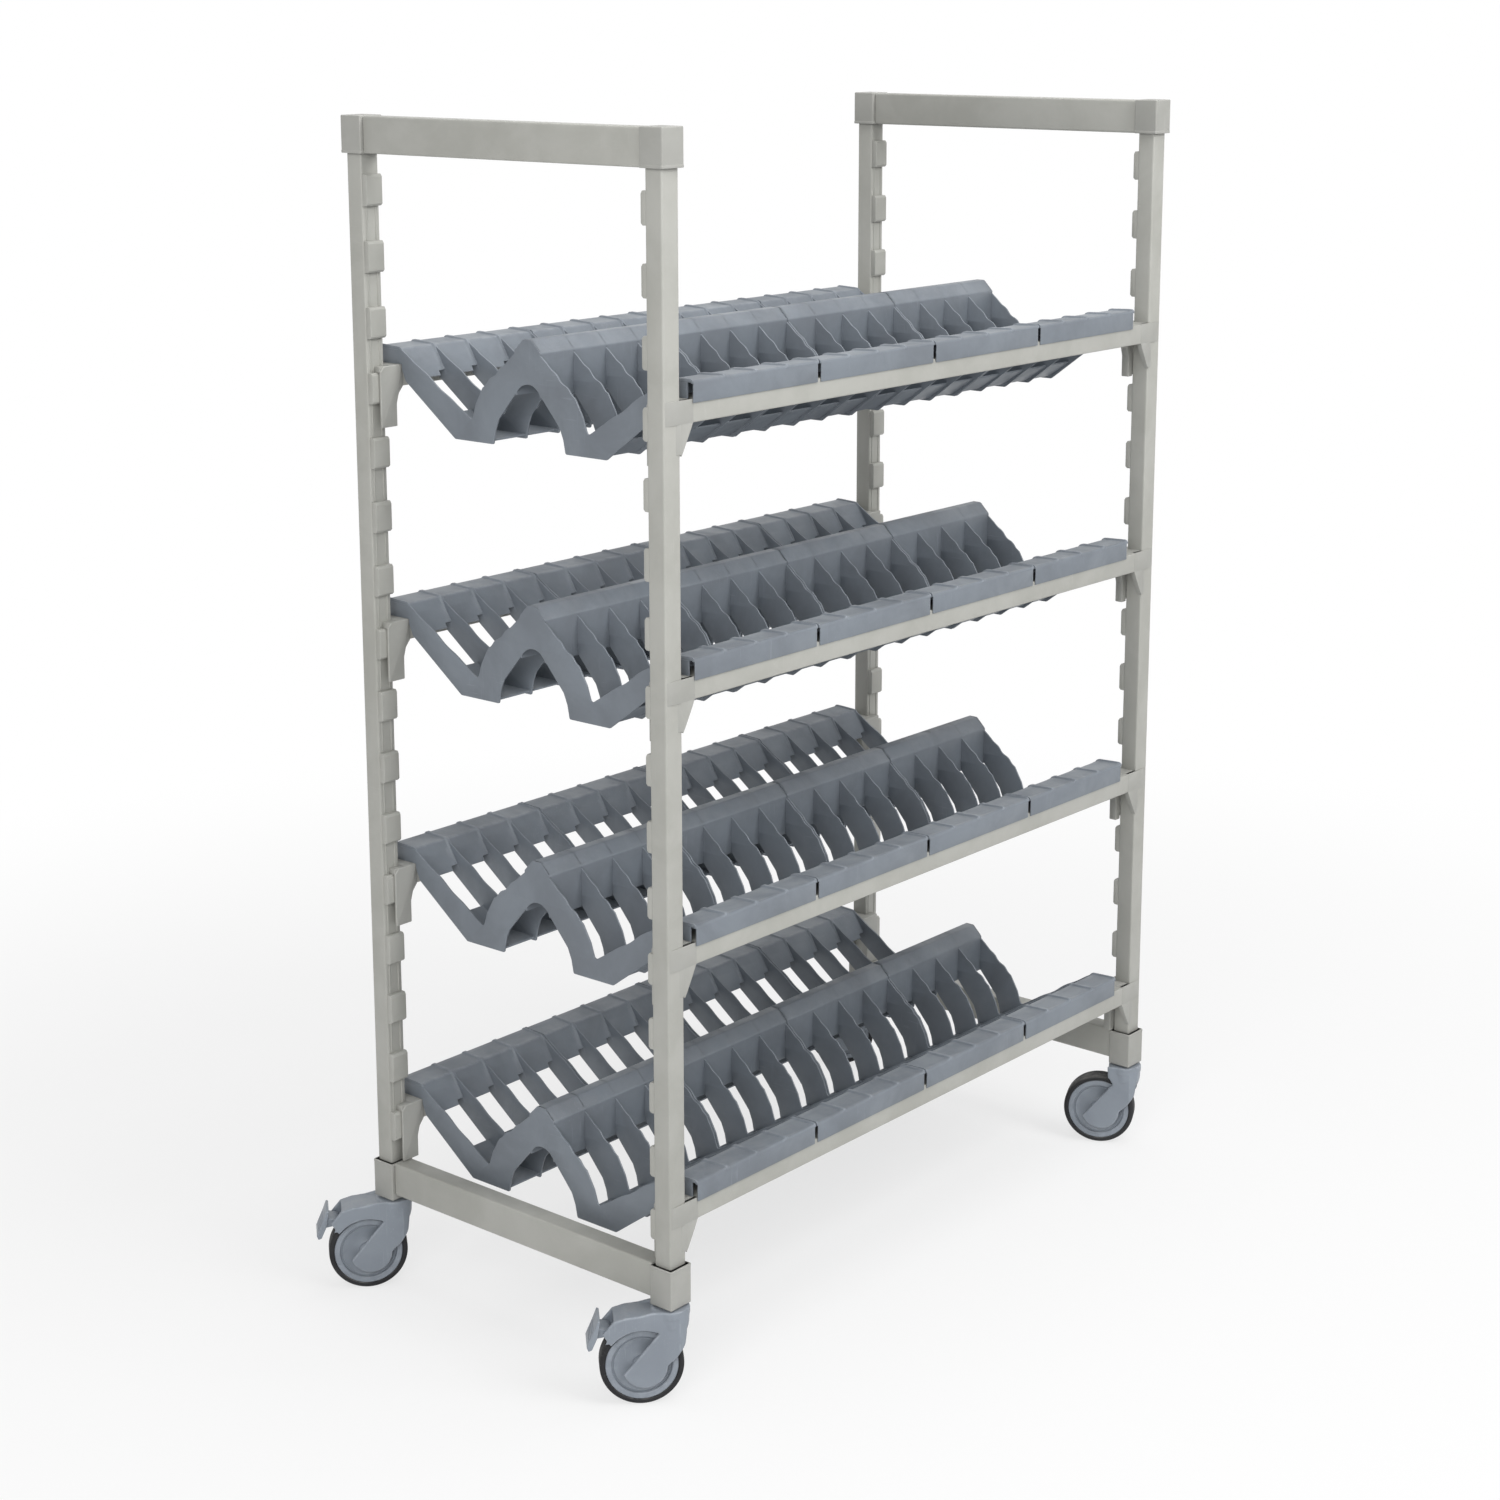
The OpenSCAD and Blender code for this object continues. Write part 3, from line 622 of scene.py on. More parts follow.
FRAME_PLASTIC = Finish("frame_plastic", (0.425, 0.425, 0.395), (0.375, 0.375, 0.345), (0.56, 0.56, 0.53),
                       rough=(0.40, 0.55), wear=0.45, scuff=0.18, dust=0.08)
FITTING_PLASTIC = Finish("fitting_plastic", (0.385, 0.385, 0.362), (0.342, 0.342, 0.318), (0.55, 0.55, 0.52),
                         rough=(0.38, 0.52), wear=0.5, scuff=0.2, dust=0.08)
CRADLE_PLASTIC = Finish("cradle_plastic", (0.200, 0.226, 0.257), (0.163, 0.182, 0.207), (0.33, 0.36, 0.40),
                        rough=(0.40, 0.56), pebble=760.0, wear=0.55, scuff=0.25, dust=0.06)
CASTER_PLASTIC = Finish("caster_plastic", (0.255, 0.286, 0.326), (0.222, 0.248, 0.285), (0.46, 0.50, 0.55),
                        rough=(0.36, 0.5), pebble=1100.0, wear=0.4, scuff=0.25, dust=0.12)
TYRE_RUBBER = Finish("tyre_rubber", (0.026, 0.027, 0.029), (0.018, 0.018, 0.020), (0.10, 0.10, 0.10),
                     rough=(0.62, 0.8), pebble=1400.0, relief=0.2, wear=0.6, scuff=0.3, dust=0.25,
                     specular=0.3)
STEEL = Finish("zinc_steel", (0.58, 0.58, 0.59), (0.50, 0.50, 0.52), (0.72, 0.72, 0.73), rough=(0.26, 0.42),
               pebble=1600.0, relief=0.06, wear=0.3, scuff=0.4, dust=0.1, metallic=1.0, specular=0.5)


class Palette:
    """The finishes' materials, built once from the shared groups."""

    def __init__(self) -> None:
        """Builds the groups, then each material."""
        groups = {"grain": grain_group(), "wear": wear_group(), "scuff": scuff_group(),
                  "dust": dust_group()}
        self.frame = FRAME_PLASTIC.build(groups)
        self.fitting = FITTING_PLASTIC.build(groups)
        self.cradle = CRADLE_PLASTIC.build(groups)
        self.caster = CASTER_PLASTIC.build(groups)
        self.tyre = TYRE_RUBBER.build(groups)
        self.steel = STEEL.build(groups)

    def dress_nodes(self) -> None:
        """Gives each CAD node the material of its record slot, for those that stay visible."""
        by_slot = {"frame_plastic": self.frame, "fitting_plastic": self.fitting,
                   "cradle_plastic": self.cradle, "caster_plastic": self.caster,
                   "tyre_rubber": self.tyre, "steel": self.steel}
        slots = {part["node"]: part["material_slot"] for part in frame["record"]["subparts"]}
        for name, node in frame["nodes"].items():
            node.data.materials.clear()
            node.data.materials.append(by_slot[slots[name]])


# The rack's frame


@dataclass(frozen=True)
class RackSizes:
    """Sizes that more than one sub-assembly shares."""

    length: float = 1220.0
    depth: float = 610.0
    top: float = 1778.0
    cap_x: float = 43.5
    cap_y: float = 41.5
    cap_z: float = 1725.0
    post_x: float = 32.5
    post_y: float = 29.5
    sleeve_z: float = 145.0
    sleeve_top: float = 204.0
    lug_z: float = 241.0
    lug_pitch: float = 94.0
    lug_h: float = 45.0
    tier_lugs: int = 4
    beam_over_lug: float = 9.0
    beam_out: float = 300.5
    beam_d: float = 42.5
    beam_h: float = 32.0
    beam_end: float = 547.0

    @property
    def post_cx(self) -> float:
        """Distance of a post's middle from the rack's, along X."""
        return (self.length - self.cap_x) / 2

    @property
    def post_cy(self) -> float:
        """Distance of a post's middle from the rack's, along Y."""
        return (self.depth - self.cap_y) / 2

    def tier_z(self, tier: int) -> float:
        """Height of a tier's traverses, tier 1 being the highest."""
        steps = (len(TIERS) - tier) * self.tier_lugs
        return self.lug_z + steps * self.lug_pitch + self.lug_h + self.beam_over_lug

    def corner(self, side: Side, face: Face, z: float = 0.0) -> Callable[[np.ndarray], np.ndarray]:
        """A function that places points drawn about a post, with +X and +Y into the rack, at a corner.

        Args:
            side: Left or right end.
            face: Front or back.
            z: Height added to the points.

        Returns:
            The placing function.
        """
        shift = np.array([side.value * self.post_cx, face.value * self.post_cy, z])
        turn = np.array([-side.value, -face.value, 1.0])
        return lambda p: p * turn + shift


SIZES = RackSizes()


def rect(x0: float, x1: float, y0: float, y1: float) -> np.ndarray:
    """The corners of a rectangle."""
    return np.array([[x0, y0], [x1, y0], [x1, y1], [x0, y1]], dtype=float)


@dataclass
class Posts:
    """The four posts with their rows of locking lugs, and two thin spines between each two lugs."""

    radius: float = 3.2
    in_sleeve: float = 4.0
    in_cap: float = 7.0
    lug_count: int = 16
    lug_out: float = 9.0
    lug_w: float = 30.0
    lug_sunk: float = 2.0
    lug_foot: float = 3.0
    lug_shoulder: float = 4.0
    lug_lead: float = 2.5
    lug_edge: float = 1.2
    spine_x: float = 10.0
    spine_w: float = 2.4
    spine_out: float = 1.1
    spine_sunk: float = 1.0
    spine_edge: float = 0.3

    def lug(self) -> np.ndarray:
        """Side view of a lug: upright, its lower and upper outer corners cut off.

        Returns:
            The outline as (Y, Z) points, with the lug's foot at 0.
        """
        root, tip, h = SIZES.post_y / 2 - self.lug_sunk, SIZES.post_y / 2 + self.lug_out, SIZES.lug_h
        corners = [[root, 0], [tip - self.lug_foot, 0], [tip, self.lug_foot], [tip, h - self.lug_shoulder],
                   [tip - self.lug_lead, h], [root, h]]
        return fillet(corners, [SHARP, *[self.lug_edge] * 4, SHARP])

    def post(self) -> Shell:
        """One post about its own middle, its lugs towards +Y: a tube, and lugs at equal steps up it.

        Returns:
            The post with its lugs and spines.
        """
        s, shell, lug = SIZES, Shell(), self.lug()
        x, y = s.post_x / 2, s.post_y / 2
        outline = fillet(rect(-x, x, -y, y), self.radius, 4)
        shell.prism(outline, s.sleeve_z + self.in_sleeve, s.top - self.in_cap, Axis.Z, bevel=0.5)
        spine = rect(y - self.spine_sunk, y + self.spine_out, 0, s.lug_pitch - s.lug_h)
        spine = fillet(spine, self.spine_edge)
        for i in range(self.lug_count):
            z = s.lug_z + i * s.lug_pitch
            shell.prism(lug + [0, z], -self.lug_w / 2, self.lug_w / 2, Axis.X, bevel=1.0)
            if i < self.lug_count - 1:
                for left in (-self.spine_x, self.spine_x - self.spine_w):
                    shell.prism(spine + [0, z + s.lug_h], left, left + self.spine_w, Axis.X, bevel=0.5)
        return shell

    def build(self, palette: Palette) -> None:
        """Makes the four posts from one shape.

        Args:
            palette: The materials.
        """
        post = self.post()
        for side, face in CORNERS:
            name = f"post_{face.name}_{side.name}".lower()
            mesh = post.moved(SIZES.corner(side, face)).mesh(name + "_moulding")
            publish(name + "_moulding", mesh, palette.frame, "frame", [name])


@dataclass
class CornerFittings:
    """Corner caps over the posts and sleeves at their feet, each with a raised rim."""

    radius: float = 3.0
    rim: float = 4.5
    proud: float = 0.45

    def fitting(self, low: float, high: float, rim_low: float) -> Shell:
        """A closed box with rounded edges and a rim band.

        Args:
            low: Lower end.
            high: Upper end.
            rim_low: Lower edge of the rim.

        Returns:
            The fitting about its post's middle.
        """
        x, y = SIZES.cap_x / 2, SIZES.cap_y / 2
        outer = fillet(rect(-x, x, -y, y), self.radius, 5)
        shell = Shell().prism(inset(outer, self.proud), low, high, Axis.Z, bevel=1.6, steps=3)
        return shell.prism(outer, rim_low, rim_low + self.rim, Axis.Z, bevel=0.9, steps=2)

    def build(self, palette: Palette) -> None:
        """Makes the caps and the sleeves, four to a piece.

        Args:
            palette: The materials.
        """
        s = SIZES
        kinds = (("corner_caps", self.fitting(s.cap_z, s.top, s.cap_z)),
                 ("corner_sleeves", self.fitting(s.sleeve_z, s.sleeve_top, s.sleeve_top - self.rim)))
        for name, fitting in kinds:
            shell = Shell()
            for side, face in CORNERS:
                shell.add(fitting.moved(s.corner(side, face)))
            publish(name + "_moulding", shell.mesh(name), palette.fitting, "frame", [name])


@dataclass
class EndBars:
    """The bars across the rack's two ends, at the caps and at the sleeves."""

    thick: float = 32.0
    height: float = 52.0
    half: float = 262.8
    radius: float = 3.5
    bottom_z: float = 153.0

    def build(self, palette: Palette) -> None:
        """Makes the four bars, each an outline carried along Y.

        Args:
            palette: The materials.
        """
        for level, z in (("top", SIZES.cap_z), ("bottom", self.bottom_z)):
            for side in Side:
                x = side.value * SIZES.post_cx
                w = self.thick / 2
                outline = fillet(rect(x - w, x + w, z, z + self.height), self.radius, 5)
                name = f"{level}_bar_{side.name}".lower()
                shell = Shell().prism(outline, -self.half, self.half, Axis.Y, bevel=0.5)
                publish(name + "_moulding", shell.mesh(name), palette.frame, "frame", [name])


@dataclass
class Traverses:
    """The eight traverses that carry the cradles."""

    radius: float = 2.6

    def build(self, palette: Palette) -> None:
        """Makes the traverses of each tier, each an outline carried along X.

        Args:
            palette: The materials.
        """
        s = SIZES
        for tier in TIERS:
            z = s.tier_z(tier)
            for face in Face:
                low, high = sorted((face.value * s.beam_out, face.value * (s.beam_out - s.beam_d)))
                outline = fillet(rect(low, high, z - s.beam_h, z), self.radius, 4)
                name = f"traverse_{face.name}_{tier}".lower()
                shell = Shell().prism(outline, -s.beam_end, s.beam_end, Axis.X, bevel=0.5)
                publish(name + "_moulding", shell.mesh(name), palette.frame, "frame", [name])


@dataclass
class Connectors:
    """The connectors that hook over the lugs: skin, side block, gusset and hook.

    They are drawn about their post's middle and their traverse's top, with +X and +Y into the rack.
    """

    fit: float = 0.2
    reach: float = 25.0
    step_in: float = 1.0
    overlap: float = 2.0
    skin: float = 1.5
    skin_from: float = 3.0
    skin_run: float = 14.0
    skin_edge: float = 0.1
    skin_wrap: float = 6.0
    gusset_h: float = 43.0
    gusset_t: float = 8.0
    gusset_back: float = 0.03
    knee: tuple[float, float] = (6.0, 0.24)
    toe: tuple[float, float] = (5.0, 0.82)
    ramp_run: float = 9.0
    ramp_flat: float = 2.0
    ramp_over: float = 0.6
    ramp_back: float = 0.06
    ramp_end: float = 0.93
    ramp_up: float = 0.4
    pocket: float = 9.2
    hook_d: float = 13.0
    hook_drop: float = 89.0
    hook_start: float = 3.0
    hook_step: float = 13.5
    hook_bend: tuple[float, float] = (10.0, 24.0)
    hook_corner: tuple[float, float] = (7.0, 8.0)
    block_x: float = 15.2
    seam: float = 0.3

    @property
    def side(self) -> float:
        """Where the connector starts beside its post."""
        return SIZES.post_x / 2 + self.fit

    @property
    def end(self) -> float:
        """Where the connector ends on its traverse."""
        return SIZES.post_x / 2 + self.reach

    @property
    def out(self) -> float:
        """The connector's outer face."""
        return -SIZES.post_y / 2 - self.skin

    def add_front(self, shell: Shell) -> None:
        """Adds the skin, which thins out over the post's outer face, and the block beside the post.

        Args:
            shell: The connector.
        """
        side, end, out, low = self.side, self.end, self.out, -SIZES.beam_h
        left, face, wrap = -SIZES.post_x / 2 + self.skin_from, out + self.skin, out + self.skin_wrap
        skin = [[left, face], [left, face - self.skin_edge], [left + self.skin_run, out], [end, out],
                [end, wrap], [side, wrap], [side, face]]
        shell.prism(fillet(skin, [0.01, 0.01, 30, 0.2, 0.2, 0.2, 0.2], 4), low, 0, Axis.Z, bevel=0.35)
        block = rect(side, end, low, 0)
        shell.prism(block, out + self.step_in, out + SIZES.beam_d, Axis.Y, bevel=0.8, steps=2)

    def add_gusset(self, shell: Shell) -> None:
        """Adds the rounded gusset under the traverse and the ramp from the post's face out to it.

        Args:
            shell: The connector.
        """
        side, end, out, low, g = self.side, self.end, self.out, -SIZES.beam_h, self.gusset_h
        gusset = [[side, low + self.overlap], [end - self.step_in, low + self.overlap],
                  [end - self.step_in, low], [end - self.knee[0], low - g * self.knee[1]],
                  [side + self.toe[0], low - g * self.toe[1]], [side, low - g]]
        shell.prism(fillet(gusset, [0.2, 0.2, 1.5, 12, 12, 0.5]), out + self.gusset_back, out + self.gusset_t,
                    Axis.Y, bevel=0.4, steps=2)
        ramp = [[side - self.ramp_run, out + self.skin], [side - self.ramp_flat, out + self.ramp_back],
                [side + self.ramp_over, out + self.ramp_back], [side + self.ramp_over, out + self.skin]]
        shell.prism(np.array(ramp), low - g * self.ramp_end, low + self.ramp_up, Axis.Z, bevel=0.02)

    def add_hook(self, shell: Shell) -> None:
        """Adds the hook: a plate behind the lug, a block beside the lug and a roof over it.

        Args:
            shell: The connector.
        """
        end, inner = self.end - self.step_in, SIZES.post_y / 2 + self.fit
        pocket, drop = SIZES.post_y / 2 + self.pocket, -self.hook_drop
        start, foot, low = -self.hook_start, self.end - self.hook_step, -SIZES.beam_h
        lower = [[end, low], [self.end - self.hook_step * 0.7, low - self.hook_bend[0]],
                 [foot, low - self.hook_bend[1]], [foot, drop]]
        run, fall = self.hook_corner
        plate = fillet([[start, -fall], [start + run, -self.fit], [end, -self.fit], *lower, [start, drop]],
                       [3, 3, 1, 1.5, 10, 10, 1.5, 1.5])
        shell.prism(plate, pocket, inner + self.hook_d, Axis.Y, bevel=1.4, steps=3)
        block = fillet([[self.block_x, -self.seam], [end, -self.seam], *lower, [self.block_x, drop]],
                       [0.3, 1, 1.5, 10, 10, 1.5, 0.3])
        roof = rect(start, self.block_x + self.overlap, -SIZES.beam_over_lug, -self.seam)
        roof = fillet(roof, [1, 0.3, 0.3, 2])
        for outline in (block, roof):
            shell.prism(outline, inner, pocket + self.overlap, Axis.Y, bevel=0.8, steps=2)

    def build(self, palette: Palette) -> None:
        """Makes the four connectors of each tier as one piece.

        Args:
            palette: The materials.
        """
        connector = Shell()
        self.add_front(connector)
        self.add_gusset(connector)
        self.add_hook(connector)
        for tier in TIERS:
            shell = Shell()
            for side, face in CORNERS:
                shell.add(connector.moved(SIZES.corner(side, face, SIZES.tier_z(tier))))
            name = f"connectors_{tier}"
            publish(name + "_moulding", shell.mesh(name), palette.fitting, "frame", [name])


# Cradles


@dataclass
class Cradle:
    """One lift-off cradle: ridge, two troughs, fins between them and a lip over each traverse.

    Heights are from the traverses' top. A pair is a step (Y, Z) from the corner that its comment names.
    """

    start: float = -552.0
    run: float = 1074.0
    gap: float = 1.5
    bays: int = 4
    plate: float = 3.0
    fin: float = 2.6
    shell: float = 3.0
    end_step: float = 0.6
    # Ridge
    ridge_h: float = 55.0
    ridge_flat: float = 16.0
    ridge_w: float = 50.0
    ridge_side: float = 62.0
    # Upper edge of a fin; the first three pairs are from the notch, the last from the lip's corner
    fin_start: float = 4.0
    wave: float = 2.5
    notch_y: float = 112.0
    notch_drop: float = 68.0
    flank_end: tuple[float, float] = (-20.0, 47.0)
    notch_near: tuple[float, float] = (-8.0, 24.0)
    notch_far: tuple[float, float] = (23.0, 14.0)
    rise_end: tuple[float, float] = (-12.0, -7.0)
    # Lower edge of a fin; two pairs are from the lip's foot and two from the trough's inner corner
    drop: float = 98.0
    trough_in: float = 70.0
    trough_out: float = 147.0
    foot_y: float = 254.8
    wall_top: tuple[float, float] = (-1.0, -8.0)
    wall_bend: tuple[float, float] = (-8.0, -24.0)
    arch_foot: tuple[float, float] = (-4.0, 20.0)
    arch_side: tuple[float, float] = (-11.0, 37.0)
    crown_drop: float = 7.5
    crown_r: float = 26.0
    # Trough floor
    floor_lift: float = 4.0
    floor_run: float = 34.0
    floor_in: float = 2.0
    floor_out: float = 3.0
    # Lip
    lip_in: float = 257.0
    lip_h: float = 22.5
    lip_top: float = 24.5
    lip_out: float = 302.7
    lip_r: float = 4.0
    lip_foot: float = 230.0
    foot_z: float = -19.0
    crest_run: float = 4.0
    under: float = 2.0
    under_run: float = 6.0
    fin_back: float = 1.0
    plate_back: float = 9.0
    plate_under: float = 3.0
    skirt_drop: float = 5.5
    skirt_t: float = 2.0
    skirt_inset: float = 3.0
    drain_w: float = 12.0
    drain_h: float = 8.0
    drain_edge: float = 0.02
    end_round: float = 0.35
    rib: float = 2.4
    rib_half: float = 4.6
    rib_steps: tuple[float, ...] = (-1.0, -0.82, -0.66, -0.5, 0.0, 0.5, 0.66, 0.82, 1.0)

    @property
    def length(self) -> float:
        """Length of a cradle: those of a tier and the gaps between them fill the run."""
        return (self.run - (len(LETTERS) - 1) * self.gap) / len(LETTERS)

    @property
    def bay(self) -> float:
        """Step from one fin to the next."""
        return (self.length - self.plate) / self.bays

    @property
    def bevel_z(self) -> float:
        """Height at which the ridge's bevel meets its upright side."""
        return self.ridge_h - (self.ridge_w - self.ridge_flat) / 2

    def upper_edge(self) -> np.ndarray:
        """Upper edge of half a fin: down the ridge's flank, over the notch and up to the lip.

        The flank and the rise are wavy lines. The bend at the ridge and the notch are rounded corners, of
        which only the points between the wavy lines are kept.

        Returns:
            (Y, Z) points from the ridge to the lip.
        """
        w, lip = self.ridge_w / 2, [self.lip_in, self.lip_h]
        notch = np.array([self.notch_y, -self.notch_drop])
        near, far = notch + self.notch_near, notch + self.notch_far
        flank = wavy([w, self.bevel_z - self.fin_start], notch + self.flank_end, self.wave, 3, 30, late=1.0)
        valley = fillet([flank[-1], near, notch, far, [self.notch_y, 60]], [SHARP, 6, 5, 8, SHARP], 4)
        rise = wavy(far, np.add(lip, self.rise_end), self.wave / 2, 2, 24)
        bend = fillet([[0, self.ridge_h], [self.ridge_flat / 2, self.ridge_h], [w, self.bevel_z], flank[0],
                       flank[2], [0, -40]], [SHARP, 5, 5, 1, SHARP, SHARP], 4)
        return np.concatenate([bend[5:20], flank[2:-1], valley[4:-8], rise[2:], [lip]])

    def lower_edge(self) -> np.ndarray:
        """Lower edge of half a fin: from the lip round the trough, with round corners, up to the arch.

        Returns:
            (Y, Z) points from the lip to the arch's crown, which is an arc.
        """
        foot, trough = np.array([self.foot_y, 0.0]), np.array([self.trough_in, -self.drop])
        rim = fillet([foot, foot + self.wall_top, foot + self.wall_bend, [self.trough_out, -self.drop],
                      trough, trough + self.arch_foot, trough + self.arch_side, [0, -self.crown_drop]],
                     [SHARP, 3, 8, 5, 3, 6, 8, SHARP], 3)
        return np.concatenate([rim[4:-4], arc(0, -self.crown_drop - self.crown_r, self.crown_r, 40, 88, 8)])

    def fins(self) -> Shell:
        """The two end plates, which stop short under the lip, and the fins between the bays.

        Returns:
            The plates and the fins, each an outline carried along X.
        """
        upper, lower = self.upper_edge(), self.lower_edge()
        start, foot = [self.lip_in + self.under_run, self.lip_h - self.under], [self.foot_y, 0]
        back = self.lip_out - self.fin_back
        fin_end = [start, [self.lip_out - self.lip_r, self.lip_top - self.under],
                   [back, self.lip_top - self.lip_r], [back, 0], foot]
        back = self.lip_out - self.plate_back
        plate_end = [start, [back, self.lip_top - self.plate_under], [back, 0], foot]
        fin, plate = (both_sides(np.concatenate([upper, end, lower])) for end in (fin_end, plate_end))
        row = ((plate, self.plate), *[(fin, self.fin)] * (self.bays - 1), (plate, self.plate))
        shell = Shell()
        for k, (outline, thick) in enumerate(row):
            shell.prism(tidy(outline), k * self.bay, k * self.bay + thick, Axis.X, bevel=0.6)
        return shell

    def add_sheet(self, shell: Shell, section: np.ndarray) -> Shell:
        """Adds a closed section carried along the cradle, from end plate to end plate.

        Args:
            shell: The shell that it is added to.
            section: The section as (Y, Z) points.

        Returns:
            The shell.
        """
        return shell.prism(section, self.end_step, self.length - self.end_step, Axis.X, bevel=0.3)

    def ridge(self) -> Shell:
        """The bevelled ridge with its upright sides, as a folded sheet.

        Returns:
            The ridge; its inner bevels start thickness * tan 22.5 degrees inside the outer ones.
        """
        k = self.shell * math.tan(math.radians(22.5))
        low, w = self.bevel_z - self.ridge_side, self.ridge_w / 2
        half = [[self.ridge_flat / 2, self.ridge_h], [w, self.bevel_z], [w, low], [w - self.shell, low],
                [w - self.shell, self.bevel_z - k], [self.ridge_flat / 2 - k, self.ridge_h - self.shell]]
        radii = [5.0, 5.0, 0.8, 0.8, 2.5, 2.5]
        return self.add_sheet(Shell(), fillet(both_sides(half), radii + radii[::-1], 4))

    def floor(self, face: Face) -> Shell:
        """The trough's floor, flat and then rising outwards beside the fins' lower edge.

        Args:
            face: Front or back trough.

        Returns:
            The floor.
        """
        z = -self.drop + self.floor_lift
        dy, dz = self.wall_bend
        rise = self.floor_run * (self.drop + dz) / (self.foot_y + dy - self.trough_out)
        line = np.array([[self.trough_in + self.floor_in, z], [self.trough_out - self.floor_out, z],
                         [self.trough_out + self.floor_run, z + rise]])
        sheet = np.concatenate([line, line[::-1] + [0, self.shell]]) * [face.value, 1]
        return self.add_sheet(Shell(), fillet(sheet, [0.8, 8, 0.8, 0.8, 5, 0.8]))

    def lip_section(self, lift: float) -> tuple[np.ndarray, np.ndarray, np.ndarray]:
        """Half of the lip's section, from the foot of its inner wall over the top to its outer edge.

        Args:
            lift: How far the foot is cut back, for a drain notch.

        Returns:
            The outer line, its outward normals and the share of a rib's height at each point.
        """
        foot, crest = np.array([self.lip_foot, self.foot_z]), np.array([self.lip_in, self.lip_h])
        height = np.linalg.norm(crest - foot)
        wall = foot + (crest - foot) / height * np.linspace(lift, height - self.crest_run, 7)[:, None]
        slope = (self.lip_top - self.lip_h) / (self.lip_out - self.lip_r - self.lip_in)
        turn = np.array([self.lip_in + self.crest_run, self.lip_h + self.crest_run * slope])
        t = np.linspace(0, 1, 5)[1:, None]
        corner = (1 - t) ** 2 * wall[-1] + 2 * t * (1 - t) * crest + t**2 * turn
        edge = arc(self.lip_out - self.lip_r, self.lip_top - self.lip_r, self.lip_r, 90, 0, 6)
        strip = turn + (edge[0] - turn) * np.linspace(0, 1, 6)[1:-1, None]
        line = np.concatenate([wall, corner, strip, edge])
        along = np.gradient(line, axis=0)
        along /= np.linalg.norm(along, axis=1)[:, None]
        normal = np.stack([-along[:, 1], along[:, 0]], axis=1)
        share = np.concatenate([np.linspace(0.55, 1, len(wall)), np.ones(len(corner) + len(strip)),
                                np.linspace(0.9, 0, len(edge))])
        return line, normal, share

    def lip_places(self) -> tuple[np.ndarray, np.ndarray, np.ndarray]:
        """Places along the lip at which its section is drawn.

        Returns:
            The places along X, how full the nearest rib is there, and whether a drain notch is there.
        """
        ribs = np.array([0.0, *(k * self.bay + self.fin / 2 for k in range(1, self.bays)), self.length])
        ends = np.array([k * self.bay for k in range(1, self.bays + 1)])
        starts, edge = ends - self.drain_w, self.drain_edge
        low, high, bend = self.end_step, self.length - self.end_step, self.end_round
        around = (ribs[:, None] + np.array(self.rib_steps) * self.rib_half).reshape(-1)
        cuts = np.concatenate([starts, starts + edge, ends - edge, ends])
        x = np.concatenate([[low, low + bend, high - bend, high], cuts, around])
        x = np.unique(np.round(np.clip(x, low, high), 3))
        d = np.abs(x[:, None] - ribs[None]).min(axis=1) / self.rib_half
        full = np.clip((1.0 - d) / 0.5, 0, 1)
        notched = ((x[:, None] > starts[None] + edge / 2) & (x[:, None] < ends[None] - edge / 2)).any(axis=1)
        return x, full, notched

    def lip(self, face: Face) -> Shell:
        """The lip with a rib over each fin and seam, and a drain notch left of each fin.

        At x the outer skin stands proud by rib * share * s(full), with full = 2 (1 - d / rib_half) up to
        1, d the distance to the nearest rib and s a smooth step.

        Args:
            face: Front or back lip.

        Returns:
            The lip and its skirt, which hangs over the traverse.
        """
        x, full, notched = self.lip_places()
        low, high = self.end_step, self.length - self.end_step
        bump = self.rib * full * full * (3 - 2 * full)
        sections = [self.lip_section(lift) for lift in (0.0, self.drain_h)]
        line, normal = (np.stack([s[i] for s in sections])[notched.astype(int)] for i in (0, 1))
        share = sections[0][2]
        at_end = (x < low + 0.3) | (x > high - 0.3)
        drawn_in = np.where(at_end, self.end_round, 0.0)[:, None, None]
        outer = line + normal * (bump[:, None] * share[None])[..., None] - normal * drawn_in
        inner = line - normal * (self.shell - drawn_in)
        ring = np.concatenate([outer, inner[:, ::-1]], axis=1)
        rings = np.concatenate([np.broadcast_to(x[:, None, None], ring.shape[:2] + (1,)),
                                ring * [face.value, 1.0]], axis=2)
        rubbed = np.where(share > 0.5, 1.0, 0.25)[None] * (full > 0.9)[:, None] * 0.8
        wear = np.concatenate([rubbed, np.zeros_like(rubbed)], axis=1)
        crest = slice(8, 11)
        wear[:, crest] = np.maximum(wear[:, crest], 0.7)
        inside, top, foot = self.lip_out - self.skirt_t, self.lip_top - self.lip_r, -self.skirt_drop
        skirt = np.array([[inside, top], [inside, foot], [self.lip_out, foot], [self.lip_out, top]])
        skirt = fillet(skirt * [face.value, 1.0], [SHARP, 0.7, 0.7, SHARP], 2)
        start, end = self.skirt_inset, self.length - self.skirt_inset
        return Shell().loft(rings, wear).prism(skirt, start, end, Axis.X, bevel=0.7)

    def build(self) -> Shell:
        """The whole cradle about its own start, with its traverses' top at 0.

        Returns:
            The fins, the ridge, the floors and the lips.
        """
        shell = self.fins().add(self.ridge())
        for face in Face:
            shell.add(self.floor(face)).add(self.lip(face))
        return shell


